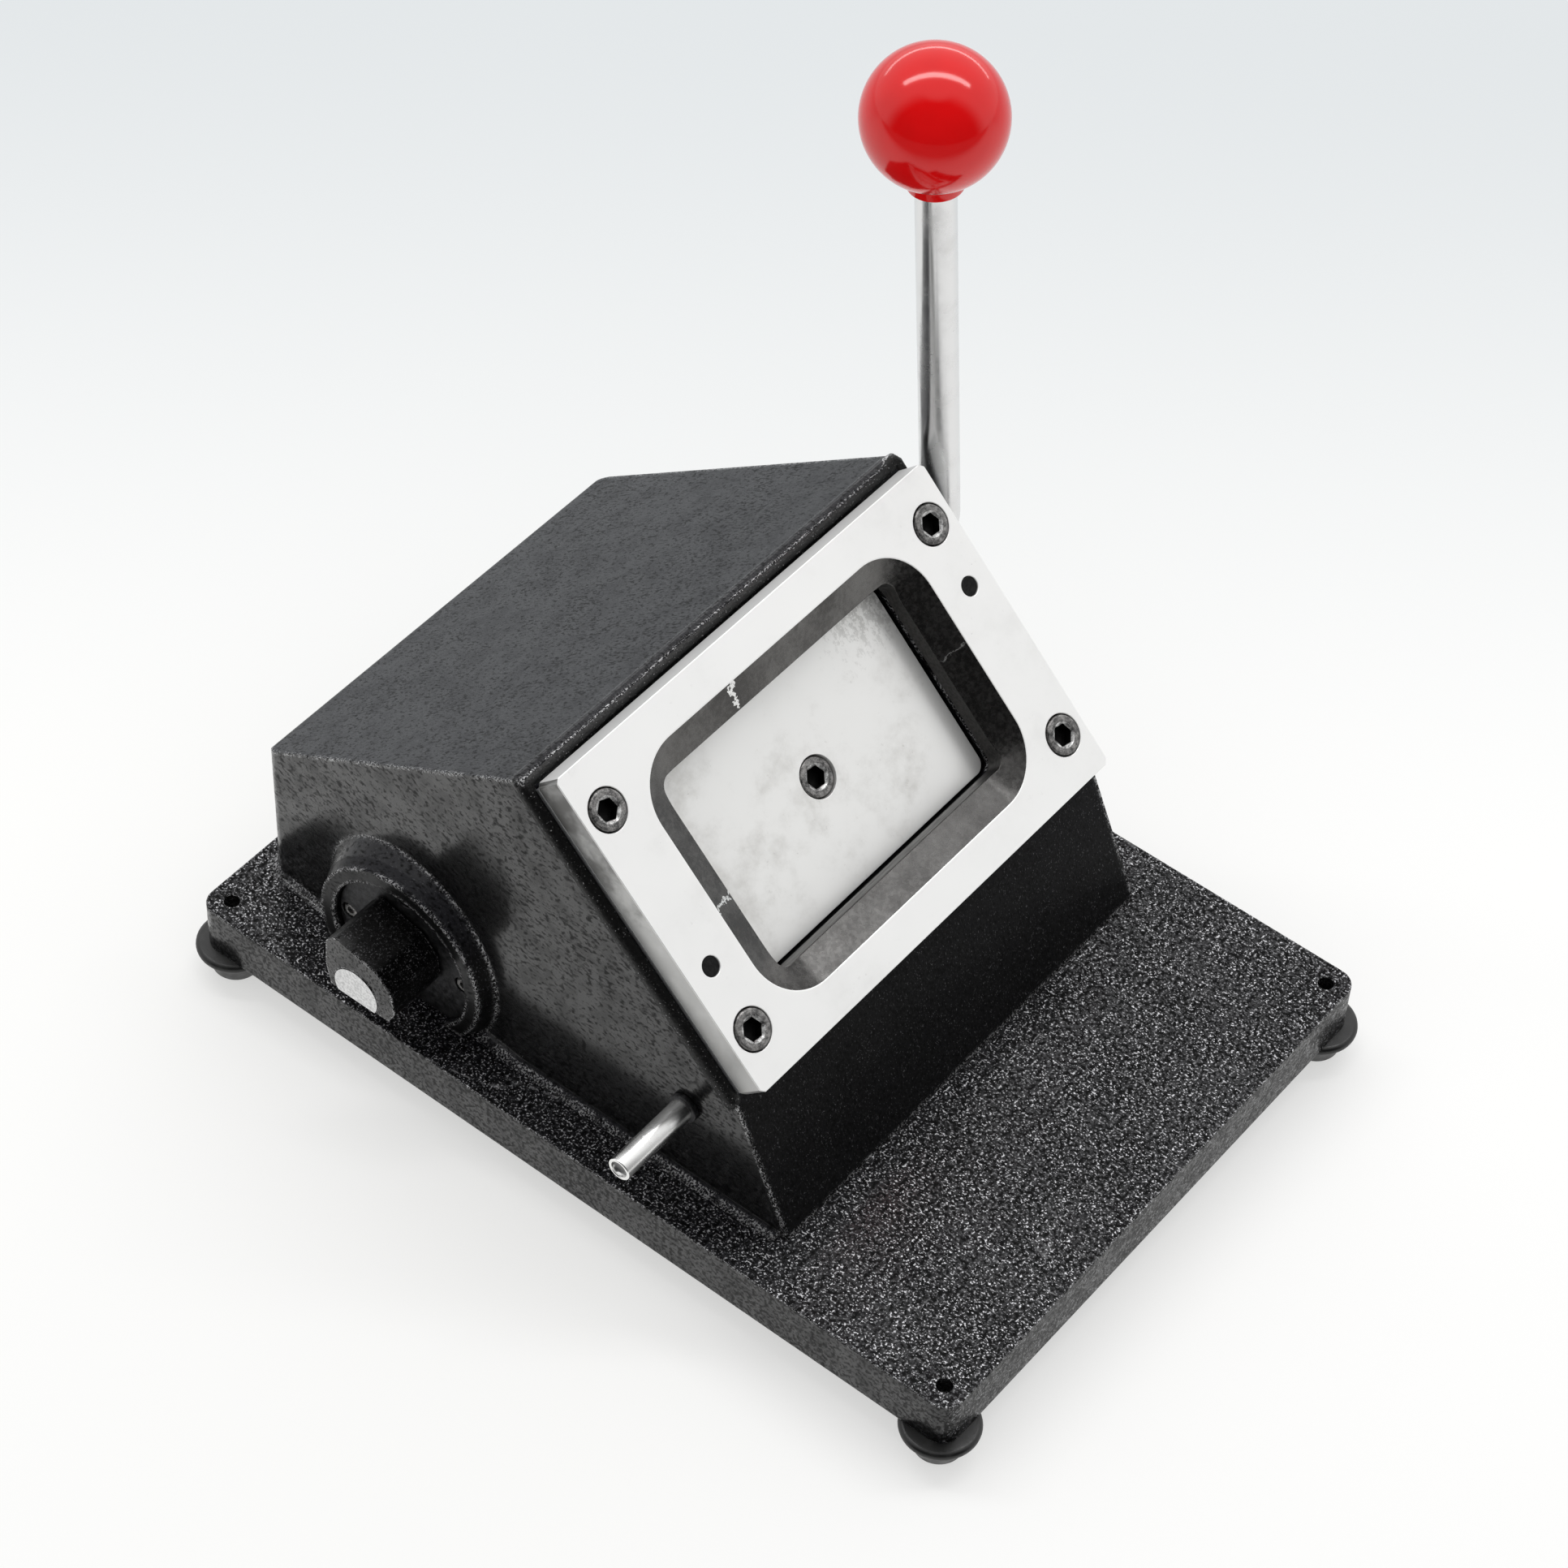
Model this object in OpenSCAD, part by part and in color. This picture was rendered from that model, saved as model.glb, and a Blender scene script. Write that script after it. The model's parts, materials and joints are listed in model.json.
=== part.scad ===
// Hand press that cuts cards out of plastic sheet.
// A leaned die plate sits on a cast housing. A side lever turns a crank, and the
// crank pushes a guided punch through the die window, square to the plate.
// Millimetres. X to the right, Y to the back, Z up. The origin is on the table,
// under the middle of the base plate.

/* [Base plate] */
// Width of the base plate
base_w = 168; // [160:1:190]
// Depth of the base plate
base_d = 236; // [232:1:260]
// Thickness of the base plate
base_t = 14.5; // [12:0.5:18]
// Corner radius of the base plate
base_corner_r = 5; // [2:0.5:6]
// Distance of the corner holes from both edges
foot_inset = 6; // [5:0.5:12]
// Height of the rubber feet
foot_h = 9.5; // [8:0.5:14]
// Diameter of the flange of a foot
foot_d = 20; // [18:0.5:22]

/* [Die plate] */
// Reach of the housing's rim beyond the plate on each side
rim_side = 2; // [1:0.25:3.5]
// Height of the die plate along its slope
plate_h = 88.5; // [84:0.5:92]
// Thickness of the die plate
plate_t = 8; // [7:0.5:10]
// Angle of the die plate from the horizontal
lean = 45; // [43:0.5:47]
// Height of the middle of the plate's front face above the base plate
plate_rise = 76; // [74:0.5:80]
// Distance of the middle of the plate's front face in front of the base's middle
plate_ahead = 16.7; // [12:0.1:20]
// Width of the cut card
card_w = 85.6; // [80:0.1:88]
// Height of the cut card
card_h = 54; // [50:0.1:56]
// Corner radius of the cut card
card_r = 3.18; // [2:0.01:4]
// Depth of the bevel in front of the straight land
bevel_depth = 3.5; // [2:0.1:4.5]
// Width of the bevel round the window
bevel_w = 7.6; // [5:0.1:8]
// Corner radius of the outer edge of the bevel
bevel_r = 15; // [12:0.5:16]
// Distance of the plate screws from the plate's left and right edges
screw_edge_x = 7.5; // [6.5:0.25:8.5]
// Distance of the plate screws from the plate's upper and lower edges
screw_edge_v = 13.25; // [11:0.25:14]
// Height of the two dowel pins above and below the plate's middle
dowel_rise = 13; // [8:0.5:18]
// Thickness of the sheet slot behind the plate
slot_t = 1.5; // [1:0.1:2.5]
// Reach of the two spacer strips past the screws, toward the middle
strip_inside = 6.5; // [5:0.5:8]

/* [Housing] */
// Width of the housing beside the card window, on each side
frame_side = 26.7; // [26.2:0.1:28]
// Angle at which the housing's sides draw in toward the back
draw_in = 4.4; // [3.8:0.1:5]
// Depth of the front foot of the housing in front of the base's middle
body_front = 59; // [56:0.5:64]
// Depth of the back wall behind the base's middle
body_rear = 112; // [108:0.5:114]
// Height of the back edge of the roof above the base plate
body_rear_h = 43; // [40:0.5:48]
// Distance behind the base's middle where the sides start to draw in
taper_start = 24; // [10:1:40]
// Reach of the front rim above the plate's middle
rim_up = 47; // [46:0.5:50]
// Reach of the front rim below the plate's middle
rim_down = 46; // [45:0.5:50]
// Thickness of the housing's walls
wall_t = 8; // [7:0.25:9]
// Thickness of the housing's front wall
front_t = 14; // [12:0.5:16]
// Radius of the vertical back corners
rear_corner_r = 4; // [3:0.5:8]
// Radius of the back edge of the roof
roof_edge_r = 2.5; // [1:0.5:5]
// Radius of the cove where the walls meet the base
cove_r = 3; // [1:0.5:4]
// Radius of the bead along the front rim
bead_r = 2.6; // [2:0.1:3]
// How far the bead stands out of the side walls
bead_out = 0.5; // [0.3:0.1:1]
// How far the bead stands above the rim
bead_up = 1.3; // [0.5:0.1:1.5]

/* [Crank] */
// Gap between the ram's eye at rest and the base plate
eye_gap = 2.6; // [1:0.1:3]
// Height of the shaft above the punch's centre line, up the slope
shaft_lift = 11.7; // [10:0.1:12]
// Diameter of the shaft in its bushes
shaft_d = 16; // [14:0.5:17]
// Throw of the crank
throw = 7; // [5:0.1:7]
// Angle that the lever turns
lever_turn = 60; // [50:1:60]
// Diameter of the crank pin
pin_d = 14; // [12:0.5:14]
// Thickness of a crank web
web_t = 10; // [8:0.5:12]
// Outer radius of the boss round the left bush
boss_r = 25.5; // [24.5:0.25:27]
// How far the left boss stands out from the front of the side wall
boss_left_out = 4; // [3:0.5:5.5]

/* [Lever] */
// Gap between the housing's right boss and the lever hub
hub_gap = 1; // [0.5:0.25:2.5]
// Width of the lever hub along the shaft
hub_w = 16; // [14:0.5:18]
// Diameter of the lever rod
rod_d = 10; // [8:0.5:11]
// Length of the lower arm from the shaft to the bend
lower_arm = 74.8; // [65:0.2:85]
// Angle of the lower arm in front of the vertical
lower_angle = 36.6; // [30:0.1:37]
// Length of the upper arm from the bend to the middle of the ball
upper_arm = 125; // [100:1:150]
// Angle of the upper arm behind the vertical
upper_angle = 5.1; // [0:0.1:10]
// Radius of the bend, to the rod's centre line
bend_r = 18; // [12:1:24]
// Diameter of the ball knob
ball_d = 35; // [30:0.5:36]

/* [Punch and guides] */
// Depth of the punch face behind the plate's front face at rest
punch_rest = 10.5; // [10.5:0.1:11]
// Length of the punch
punch_len = 30.5; // [30:0.5:34]
// Thickness of the punch carrier
carrier_t = 14; // [12:0.5:16]
// Thickness of the guide plate
guide_t = 10; // [9:0.5:10]
// Diameter of the guide pillars
pillar_d = 8; // [6:0.5:8]
// Distance of the pillars from the card window's sides
pillar_side = 7.2; // [6.7:0.1:7.7]
// Distance of the pillars from the middle, up and down
pillar_v = 13; // [10:0.5:15]

/* [Side peg] */
// Diameter of the peg on the left wall
peg_d = 5; // [4:0.5:6]
// How far the peg stands out of the wall
peg_out = 24.5; // [18:0.5:28]
// Depth of the peg in front of the base's middle
peg_ahead = 27.3; // [22:0.1:32]
// Height of the peg above the base plate
peg_rise = 25.3; // [20:0.1:30]

/* [Fits] */
// Radial gap of a part that runs or slides
run_gap = 0.04; // [0.02:0.01:0.06]
// Gap on both sides of the crank pin in the ram's slot
slot_gap = 0.08; // [0.07:0.01:0.1]
// Gap round the punch in the window
punch_gap = 0.05; // [0.05:0.01:0.1]
// Radial gap of a fixed pin, plug or thread
fixed_gap = 0.03; // [0.01:0.01:0.05]
// Side gap between faces that pass each other
side_gap = 0.3; // [0.3:0.05:0.4]
// Gap between the guide plate's sides and the housing's walls
guide_gap = 3.5; // [2:0.25:5]

/* [Hidden] */
$fn = 64;
over = 1;

base_top = foot_h + base_t;
foot_x = base_w / 2 - foot_inset;
foot_y = base_d / 2 - foot_inset;
foot_screw_d = 4;
foot_screw_head_d = 7;
foot_flange_t = 2.6;
foot_body_d = foot_d - 4;
foot_tip_d = foot_d - 7;

body_w = card_w + 2 * frame_side;
plate_w = body_w - 2 * rim_side;
plate_y = -plate_ahead;
plate_z = base_top + plate_rise;
screw_x = plate_w / 2 - screw_edge_x;
screw_v = plate_h / 2 - screw_edge_v;
strip_w = plate_w / 2 - screw_x + strip_inside;
plate_chamfer = 1.2;
rim_depth = plate_t + slot_t;
wall_depth = rim_depth + front_t;
guide_depth = wall_depth + guide_t;

m6_d = 6;
m6_head_d = 10;
m6_head_h = 6;
m6_socket = 5;
m6_pocket_d = 10.8;
m6_pocket_t = 5.6;
m6_reach = front_t - 2;
dowel_d = 5;
dowel_len = plate_t + slot_t + front_t - 3;

m5_d = 5;
m5_head_d = 8.5;
m5_head_h = 5;
m5_pocket_d = 9.2;
guide_half_w = body_w / 2 - wall_t - guide_gap;
guide_half_h = card_h / 2 + 9;
guide_screw_x = guide_half_w - 6;
guide_screw_v = guide_half_h - 5;
pillar_x = card_w / 2 + pillar_side;

half_turn = lever_turn / 2;
stroke = 2 * throw * sin(half_turn);
eye_r = pin_d / 2 + 8.5;
// The shaft's height above the base plate keeps the ram's eye clear of it at rest.
shaft_rise = eye_r + eye_gap - throw * (cos(half_turn) * sin(lean) - sin(half_turn) * cos(lean));
shaft_reach = (plate_rise + shaft_lift * sin(lean) - shaft_rise) / cos(lean);
// The crank pin in the die plate's frame: up the slope, and depth behind its front.
pin_v = shaft_lift + throw * cos(half_turn);
pin_depth = shaft_reach + throw * sin(half_turn);
pin_v_high = shaft_lift + throw;
shaft_at = die_yz(shaft_lift, shaft_reach);
pin_at = die_yz(pin_v, pin_depth);
journal_r = shaft_d / 2;
end_r = journal_r - 0.6;
left_end_r = journal_r - 1.2;
shoulder_r = journal_r + 2;
eye_half_w = 17;
web_x = eye_half_w + side_gap;
web_shaft_r = journal_r + 3.5;
web_pin_r = pin_d / 2 + 4;
bush_r = journal_r + 3;
bush_flange_r = journal_r + 6;
bush_flange_t = 2;
bush_inner_x = body_w / 2 - 14;
boss_left_x = body_w / 2 + boss_left_out;
boss_right_x = body_w / 2;
cover_r = boss_r - 4.2;
cover_t = 3.6;
cover_pocket_t = 6;
cover_screw_r = cover_r - 3;
cover_screw_d = 2.5;
cover_head_d = 4.5;
cover_head_h = 2.2;

carrier_depth = punch_rest + punch_len;
ram_depth = carrier_depth + carrier_t;
ram_flange_t = 8;
ram_flange_half = 30;
pillar_end = ram_depth + 11;
carrier_half_w = pillar_x + 8;
carrier_mid_half_w = card_w / 2 + 5;
carrier_mid_half_h = card_h / 2;
carrier_ear_half_h = pillar_v + 8;
pillar_bush_r = pillar_d / 2 + 1.6;
pillar_bush_flange_r = pillar_bush_r + 1.5;
punch_dowel_x = card_w / 2 - 9;
punch_dowel_v = card_h / 2 - 16;
ram_screw_x = 24;
ram_screw_v = 15;

hub_r = 13.5;
hub_x = boss_right_x + hub_gap;
lever_x = hub_x + hub_w / 2;
socket_r = rod_d / 2 + 2.8;
socket_reach = hub_r + 7;
rod_start = end_r + 1.5;
rod_in_ball = 2;
bend_lap = 0.3;
neck_r = 7;

dog_out = 15.5;
dog_end_x = boss_left_x + dog_out;
dog_x = boss_left_x - 1.8;
// The flat under the left shaft end and the block, below the shaft's centre.
dog_flat = 3.4;
dog_pin_d = 4;
dog_points = [
    [-10.2, -dog_flat], [8.4, -dog_flat], [9.8, 3], [9.4, 12],
    [6.4, 15.2], [-6.9, 12], [-11.4, 7], [-12.2, 0.5]
];
dog_rounds = [0, 0, 0, 1, 1.5, 2, 2, 2];
dog_pin_len = 9.4;

body_rear_w = body_w - 2 * (body_rear - taper_start) * tan(draw_in);
side_points = [
    [-body_front, base_top],
    [body_rear, base_top],
    [body_rear, base_top + body_rear_h],
    die_yz(rim_up, rim_depth),
    die_yz(-rim_down, rim_depth)
];
plan_front = body_front + 2 * wall_t;
cove_lap = 0.5;
plan_points = [
    [-body_w / 2, -plan_front],
    [body_w / 2, -plan_front],
    [body_w / 2, taper_start],
    [body_rear_w / 2, body_rear],
    [-body_rear_w / 2, body_rear],
    [-body_w / 2, taper_start]
];
body_bolt_front = [body_w / 2 - wall_t - 7, -body_front + 22];
body_bolt_rear = [body_rear_w / 2 - wall_t - 5, body_rear - wall_t - 8];
body_bolt_d = 8;
body_bolt_head_d = 13;
body_bolt_head_h = 8;
body_bolt_reach = 14;
body_bolt_boss_r = 9;
body_bolt_boss_h = 20;
peg_y = -peg_ahead;
peg_z = base_top + peg_rise;
peg_root = 6;
peg_tip_x = body_w / 2 + peg_out;

// A point of the die plate's frame as [y, z]: v up the slope, depth behind the front.
function die_yz(v, depth) = [
    plate_y + v * cos(lean) + depth * sin(lean),
    plate_z + v * sin(lean) - depth * cos(lean)
];
function unit(a) = a / norm(a);
function left_of(a) = [-a.y, a.x];
function turned(a, angle) = [
    a.x * cos(angle) - a.y * sin(angle),
    a.x * sin(angle) + a.y * cos(angle)
];
// The corner where two edges meet when each moves inward by its own distance.
function inner_corner(p, n1, d1, n2, d2) =
    let (det = n1.x * n2.y - n1.y * n2.x)
    p + [(d1 * n2.y - d2 * n1.y) / det, (n1.x * d2 - n2.x * d1) / det];
// A polygon whose edge i moves inward by d[i]. The points run anticlockwise.
function inset(p, d) = let (n = len(p)) [
    for (i = [0:n - 1])
        let (
            before = p[(i + n - 1) % n],
            after = p[(i + 1) % n],
            n1 = left_of(unit(p[i] - before)),
            n2 = left_of(unit(after - p[i]))
        )
        inner_corner(p[i], n1, d[(i + n - 1) % n], n2, d[i])
];

// Places drawings of the plate's frame: X across, Y up the slope, Z out of the front.
module on_die(depth = 0) {
    translate([0, plate_y, plate_z])
        rotate([lean, 0, 0])
            translate([0, 0, -depth])
                children();
}

// Extrudes a drawing in the plate's frame from one depth to a deeper one.
module slab(from, to) {
    on_die(to)
        linear_extrude(to - from)
            children();
}

// Extrudes a drawing made in Y and Z along X.
module along_x(from, to) {
    translate([from, 0, 0])
        rotate([90, 0, 90])
            linear_extrude(to - from)
                children();
}

// The arc in a polygon's corner: its two ends on the edges, and its centre.
function corner_arc(p, i, r) =
    let (
        n = len(p),
        back = unit(p[(i + n - 1) % n] - p[i]),
        ahead = unit(p[(i + 1) % n] - p[i]),
        half = acos(back * ahead) / 2
    )
    [p[i] + back * r / tan(half), p[i] + ahead * r / tan(half), p[i] + unit(back + ahead) * r / sin(half)];

// A polygon with the corners in r rounded by true arcs, where r[i] is above zero.
module soft_polygon(p, r) {
    last = len(p) - 1;
    polygon([
        for (i = [0:last]) each r[i] > 0 ? [corner_arc(p, i, r[i])[0], corner_arc(p, i, r[i])[1]] : [p[i]]
    ]);
    for (i = [0:last]) {
        if (r[i] > 0)
            translate(corner_arc(p, i, r[i])[2])
                circle(r[i]);
    }
}

module round_rect(w, h, r) {
    square([w - 2 * r, h], center = true);
    square([w, h - 2 * r], center = true);
    for (sx = [-1, 1], sy = [-1, 1]) {
        translate([sx * (w / 2 - r), sy * (h / 2 - r)])
            circle(r);
    }
}

module chamfer_rect(w, h, c) {
    x = w / 2;
    y = h / 2;
    polygon([
        [-x + c, -y], [x - c, -y], [x, -y + c], [x, y - c],
        [x - c, y], [-x + c, y], [-x, y - c], [-x, -y + c]
    ]);
}

module four_at(x, y) {
    for (sx = [-1, 1], sy = [-1, 1]) {
        translate([sx * x, sy * y])
            children();
    }
}

// A socket head screw: the head's top at zero, the shank down along -Z.
module cap_screw(d, head_d, head_h, reach, socket) {
    difference() {
        union() {
            translate([0, 0, -head_h])
                cylinder(d = head_d, h = head_h - 0.5);
            translate([0, 0, -0.5])
                cylinder(d1 = head_d, d2 = head_d - 1, h = 0.5);
            translate([0, 0, -head_h - reach])
                cylinder(d = d, h = reach + 0.1);
        }
        translate([0, 0, -head_h * 0.55])
            cylinder(d = socket / cos(30), h = head_h, $fn = 6);
    }
}

module base_plate() {
    color("#2a2a2b")
    difference() {
        translate([0, 0, foot_h])
            linear_extrude(base_t)
                round_rect(base_w, base_d, base_corner_r);
        four_at(foot_x, foot_y)
            translate([0, 0, foot_h - over])
                cylinder(d = foot_screw_d + 2 * fixed_gap, h = base_t + 2 * over);
        for (sx = [-1, 1], bolt = [body_bolt_front, body_bolt_rear]) {
            translate([sx * bolt.x, bolt.y, foot_h - over])
                cylinder(d = body_bolt_d + 0.6, h = base_t + 2 * over);
            translate([sx * bolt.x, bolt.y, foot_h - over])
                cylinder(d = body_bolt_head_d + 1, h = body_bolt_head_h + over + 0.4);
        }
    }
}

module rubber_feet() {
    color("#1b1b1c")
    four_at(foot_x, foot_y)
        difference() {
            union() {
                translate([0, 0, foot_h - foot_flange_t])
                    cylinder(d = foot_d, h = foot_flange_t);
                cylinder(d1 = foot_tip_d, d2 = foot_body_d, h = foot_h - foot_flange_t + 0.1);
            }
            translate([0, 0, -over])
                cylinder(d = foot_screw_head_d + 1, h = foot_h / 2 + over);
            translate([0, 0, -over])
                cylinder(d = foot_screw_d + 2 * fixed_gap, h = foot_h + 2 * over);
        }
}

module foot_screws() {
    color("#8d8f92")
    four_at(foot_x, foot_y)
        translate([0, 0, foot_h / 2 - 2.5])
            mirror([0, 0, 1])
                cap_screw(foot_screw_d, foot_screw_head_d, 2.5, foot_h / 2 + base_t * 0.65, 3);
}

module housing_plan(d) {
    n = rear_corner_r - d;
    soft_polygon(inset(plan_points, [d, d, d, d, d, d]), [0, 0, 0, n, n, 0]);
}

module housing_blank() {
    intersection() {
        along_x(-body_w, body_w)
            soft_polygon(side_points, [0, 0, roof_edge_r, 0, 0]);
        linear_extrude(plate_z + plate_h)
            housing_plan(0);
    }
}

module housing_hollow() {
    intersection() {
        along_x(-body_w, body_w)
            polygon(inset(side_points, [-over, wall_t, wall_t, front_t, wall_t]));
        linear_extrude(plate_z + plate_h)
            housing_plan(wall_t);
    }
}

// The rounded bead along the top and both sides of the front rim.
module rim_bead() {
    x = body_w / 2 - bead_r + bead_out;
    v = rim_up - bead_r + bead_up;
    on_die(rim_depth + bead_r) {
        for (side = [-1, 1]) {
            translate([side * x, -rim_down + bead_r, 0])
                rotate([-90, 0, 0])
                    cylinder(r = bead_r, h = v + rim_down - bead_r);
            translate([side * x, v, 0])
                sphere(r = bead_r);
            translate([side * x, -rim_down + bead_r, 0])
                sphere(r = bead_r);
        }
        translate([-x, v, 0])
            rotate([0, 90, 0])
                cylinder(r = bead_r, h = 2 * x);
    }
}

module cove_section(r) {
    difference() {
        translate([-over, 0])
            square([r + over, r]);
        translate([r, r])
            circle(r);
    }
}

// A cove along a wall's foot, on the right of the way from one point to the next.
// It is a touch larger than the corner's cove and laps over it.
module cove_run(from, to) {
    way = to - from;
    long = norm(way) + 2 * cove_lap;
    translate([from.x, from.y, base_top])
        rotate([0, 0, atan2(way.y, way.x) - 90])
            translate([0, long - cove_lap, 0])
                rotate([90, 0, 0])
                    linear_extrude(long)
                        cove_section(cove_r + 0.05);
}

module wall_coves() {
    centre_x = body_rear_w / 2 - rear_corner_r * tan(45 + draw_in / 2);
    centre_y = body_rear - rear_corner_r;
    kink = [body_w / 2, taper_start];
    leave = [centre_x + rear_corner_r * cos(draw_in), centre_y + rear_corner_r * sin(draw_in)];
    for (flip = [0, 1]) {
        mirror([flip, 0, 0]) {
            cove_run([body_w / 2, -body_front + cove_r], kink);
            cove_run(kink, leave);
            translate([centre_x, centre_y, base_top])
                rotate([0, 0, draw_in])
                    rotate_extrude(angle = 90 - draw_in)
                        translate([rear_corner_r, 0])
                            cove_section(cove_r);
        }
    }
    cove_run([centre_x, body_rear], [-centre_x, body_rear]);
}

module boss(side, rim_x) {
    root_x = body_w / 2 - 6;
    translate([side * root_x, shaft_at.x, shaft_at.y])
        rotate([0, side * 90, 0]) {
            cylinder(r = boss_r, h = rim_x - root_x);
            cylinder(r1 = boss_r + 5, r2 = boss_r, h = rim_x - root_x - 0.8);
        }
}

module shaft_line(from, to) {
    along_x(from, to)
        translate(shaft_at)
            children();
}

module housing() {
    color("#2c2c2e")
    difference() {
        union() {
            difference() {
                union() {
                    housing_blank();
                    intersection() {
                        union() {
                            boss(-1, boss_left_x);
                            boss(1, boss_right_x);
                        }
                        translate([-2 * body_w, -body_front, base_top])
                            cube([4 * body_w, body_front + body_rear, plate_z]);
                    }
                }
                housing_hollow();
            }
            rim_bead();
            wall_coves();
            intersection() {
                housing_blank();
                union() {
                    for (sx = [-1, 1], bolt = [body_bolt_front, body_bolt_rear]) {
                        translate([sx * bolt.x, bolt.y, base_top])
                            cylinder(r = body_bolt_boss_r, h = body_bolt_boss_h);
                    }
                    for (side = [-1, 1]) {
                        translate([side * bush_inner_x, shaft_at.x, shaft_at.y])
                            rotate([0, side * 90, 0])
                                cylinder(r = bush_r + 4, h = body_w / 2 - bush_inner_x - 4);
                    }
                }
            }
        }
        // Window of the front wall
        slab(rim_depth - over, wall_depth + over)
            round_rect(card_w + 2, card_h + 2, card_r + 1);
        // Threads and dowel holes of the die plate
        slab(rim_depth - over, rim_depth + m6_reach)
            four_at(screw_x, screw_v)
                circle(d = m6_d + 2 * fixed_gap);
        slab(rim_depth - over, dowel_len + 0.5)
            for (side = [-1, 1]) {
                translate([side * screw_x, side * dowel_rise])
                    circle(d = dowel_d + 2 * fixed_gap);
            }
        // Threads of the guide plate
        slab(wall_depth - 10, wall_depth + over)
            four_at(guide_screw_x, guide_screw_v)
                circle(d = m5_d + 2 * fixed_gap);
        // Bush seats, cover pockets and cover threads
        for (side = [-1, 1]) {
            rim_x = side < 0 ? boss_left_x : boss_right_x;
            translate([side * (bush_inner_x - over), shaft_at.x, shaft_at.y])
                rotate([0, side * 90, 0])
                    cylinder(r = bush_r + fixed_gap, h = rim_x);
            translate([side * (rim_x - cover_pocket_t), shaft_at.x, shaft_at.y])
                rotate([0, side * 90, 0])
                    cylinder(r = cover_r + fixed_gap, h = cover_pocket_t + over);
            for (angle = [0, 90, 180]) {
                spot = shaft_at + turned([cover_screw_r, 0], angle);
                translate([side * (rim_x - cover_pocket_t - 6), spot.x, spot.y])
                    rotate([0, side * 90, 0])
                        cylinder(d = cover_screw_d + 2 * fixed_gap, h = 6 + over);
            }
        }
        // Threads of the bolts from below
        for (sx = [-1, 1], bolt = [body_bolt_front, body_bolt_rear]) {
            translate([sx * bolt.x, bolt.y, base_top - over])
                cylinder(d = body_bolt_d + 2 * fixed_gap, h = body_bolt_reach + over);
        }
        // Seat of the side peg
        along_x(-body_w / 2 - over, -body_w / 2 + peg_root)
            translate([peg_y, peg_z])
                circle(d = peg_d + 2 * fixed_gap);
        // Nothing of the housing reaches below the base plate's top
        translate([-body_w, -base_d, -over])
            cube([2 * body_w, 2 * base_d, base_top + over]);
    }
}

module housing_bolts() {
    color("#3a3a3c")
    for (sx = [-1, 1], bolt = [body_bolt_front, body_bolt_rear]) {
        translate([sx * bolt.x, bolt.y, foot_h + 0.4])
            mirror([0, 0, 1])
                cap_screw(
                    body_bolt_d, body_bolt_head_d, body_bolt_head_h,
                    base_t - body_bolt_head_h + body_bolt_reach - 1.5, 6
                );
    }
}

// The pocket in front of the land: flat bevels with a cone in each corner.
module bevel_cut() {
    w = card_w + 2 * bevel_w;
    h = card_h + 2 * bevel_w;
    slope = bevel_w / bevel_depth;
    d = bevel_depth + over;
    grow = over * slope;
    x = card_w / 2;
    y = card_h / 2;
    translate([0, 0, -bevel_depth]) {
        translate([0, h / 2 - bevel_r, 0])
            rotate([90, 0, 0])
                linear_extrude(h - 2 * bevel_r)
                    polygon([[-x, 0], [x, 0], [x + bevel_w + grow, d], [-x - bevel_w - grow, d]]);
        translate([-(w / 2 - bevel_r), 0, 0])
            rotate([90, 0, 90])
                linear_extrude(w - 2 * bevel_r)
                    polygon([[-y, 0], [y, 0], [y + bevel_w + grow, d], [-y - bevel_w - grow, d]]);
        four_at(w / 2 - bevel_r, h / 2 - bevel_r)
            cylinder(r1 = bevel_r - bevel_w, r2 = bevel_r + grow, h = d);
    }
}

module die_plate() {
    color("#f2f2f0")
    difference() {
        slab(0, plate_t)
            chamfer_rect(plate_w, plate_h, plate_chamfer);
        slab(-over, plate_t + over)
            round_rect(card_w, card_h, card_r);
        on_die()
            bevel_cut();
        slab(-over, plate_t + over)
            four_at(screw_x, screw_v)
                circle(d = m6_d + 0.6);
        slab(-over, m6_pocket_t)
            four_at(screw_x, screw_v)
                circle(d = m6_pocket_d);
        slab(-over, plate_t + over)
            for (side = [-1, 1]) {
                translate([side * screw_x, side * dowel_rise])
                    circle(d = dowel_d + 2 * fixed_gap);
            }
    }
}

module spacer_strips() {
    color("#9b9da0")
    slab(plate_t, rim_depth)
        for (side = [-1, 1]) {
            difference() {
                translate([side * (plate_w - strip_w) / 2, 0])
                    square([strip_w, plate_h - 2 * plate_chamfer], center = true);
                for (sv = [-1, 1]) {
                    translate([side * screw_x, sv * screw_v])
                        circle(d = m6_d + 0.6);
                }
                translate([side * screw_x, side * dowel_rise])
                    circle(d = dowel_d + 2 * fixed_gap);
            }
        }
}

module die_plate_screws() {
    color("#3b3b3d")
    on_die(m6_pocket_t - m6_head_h)
        four_at(screw_x, screw_v)
            cap_screw(m6_d, m6_head_d, m6_head_h, rim_depth + m6_reach - m6_pocket_t - 1, m6_socket);
}

module dowel_pins() {
    color("#2f2f31")
    slab(0.3, dowel_len)
        for (side = [-1, 1]) {
            translate([side * screw_x, side * dowel_rise])
                circle(d = dowel_d);
        }
}

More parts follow.
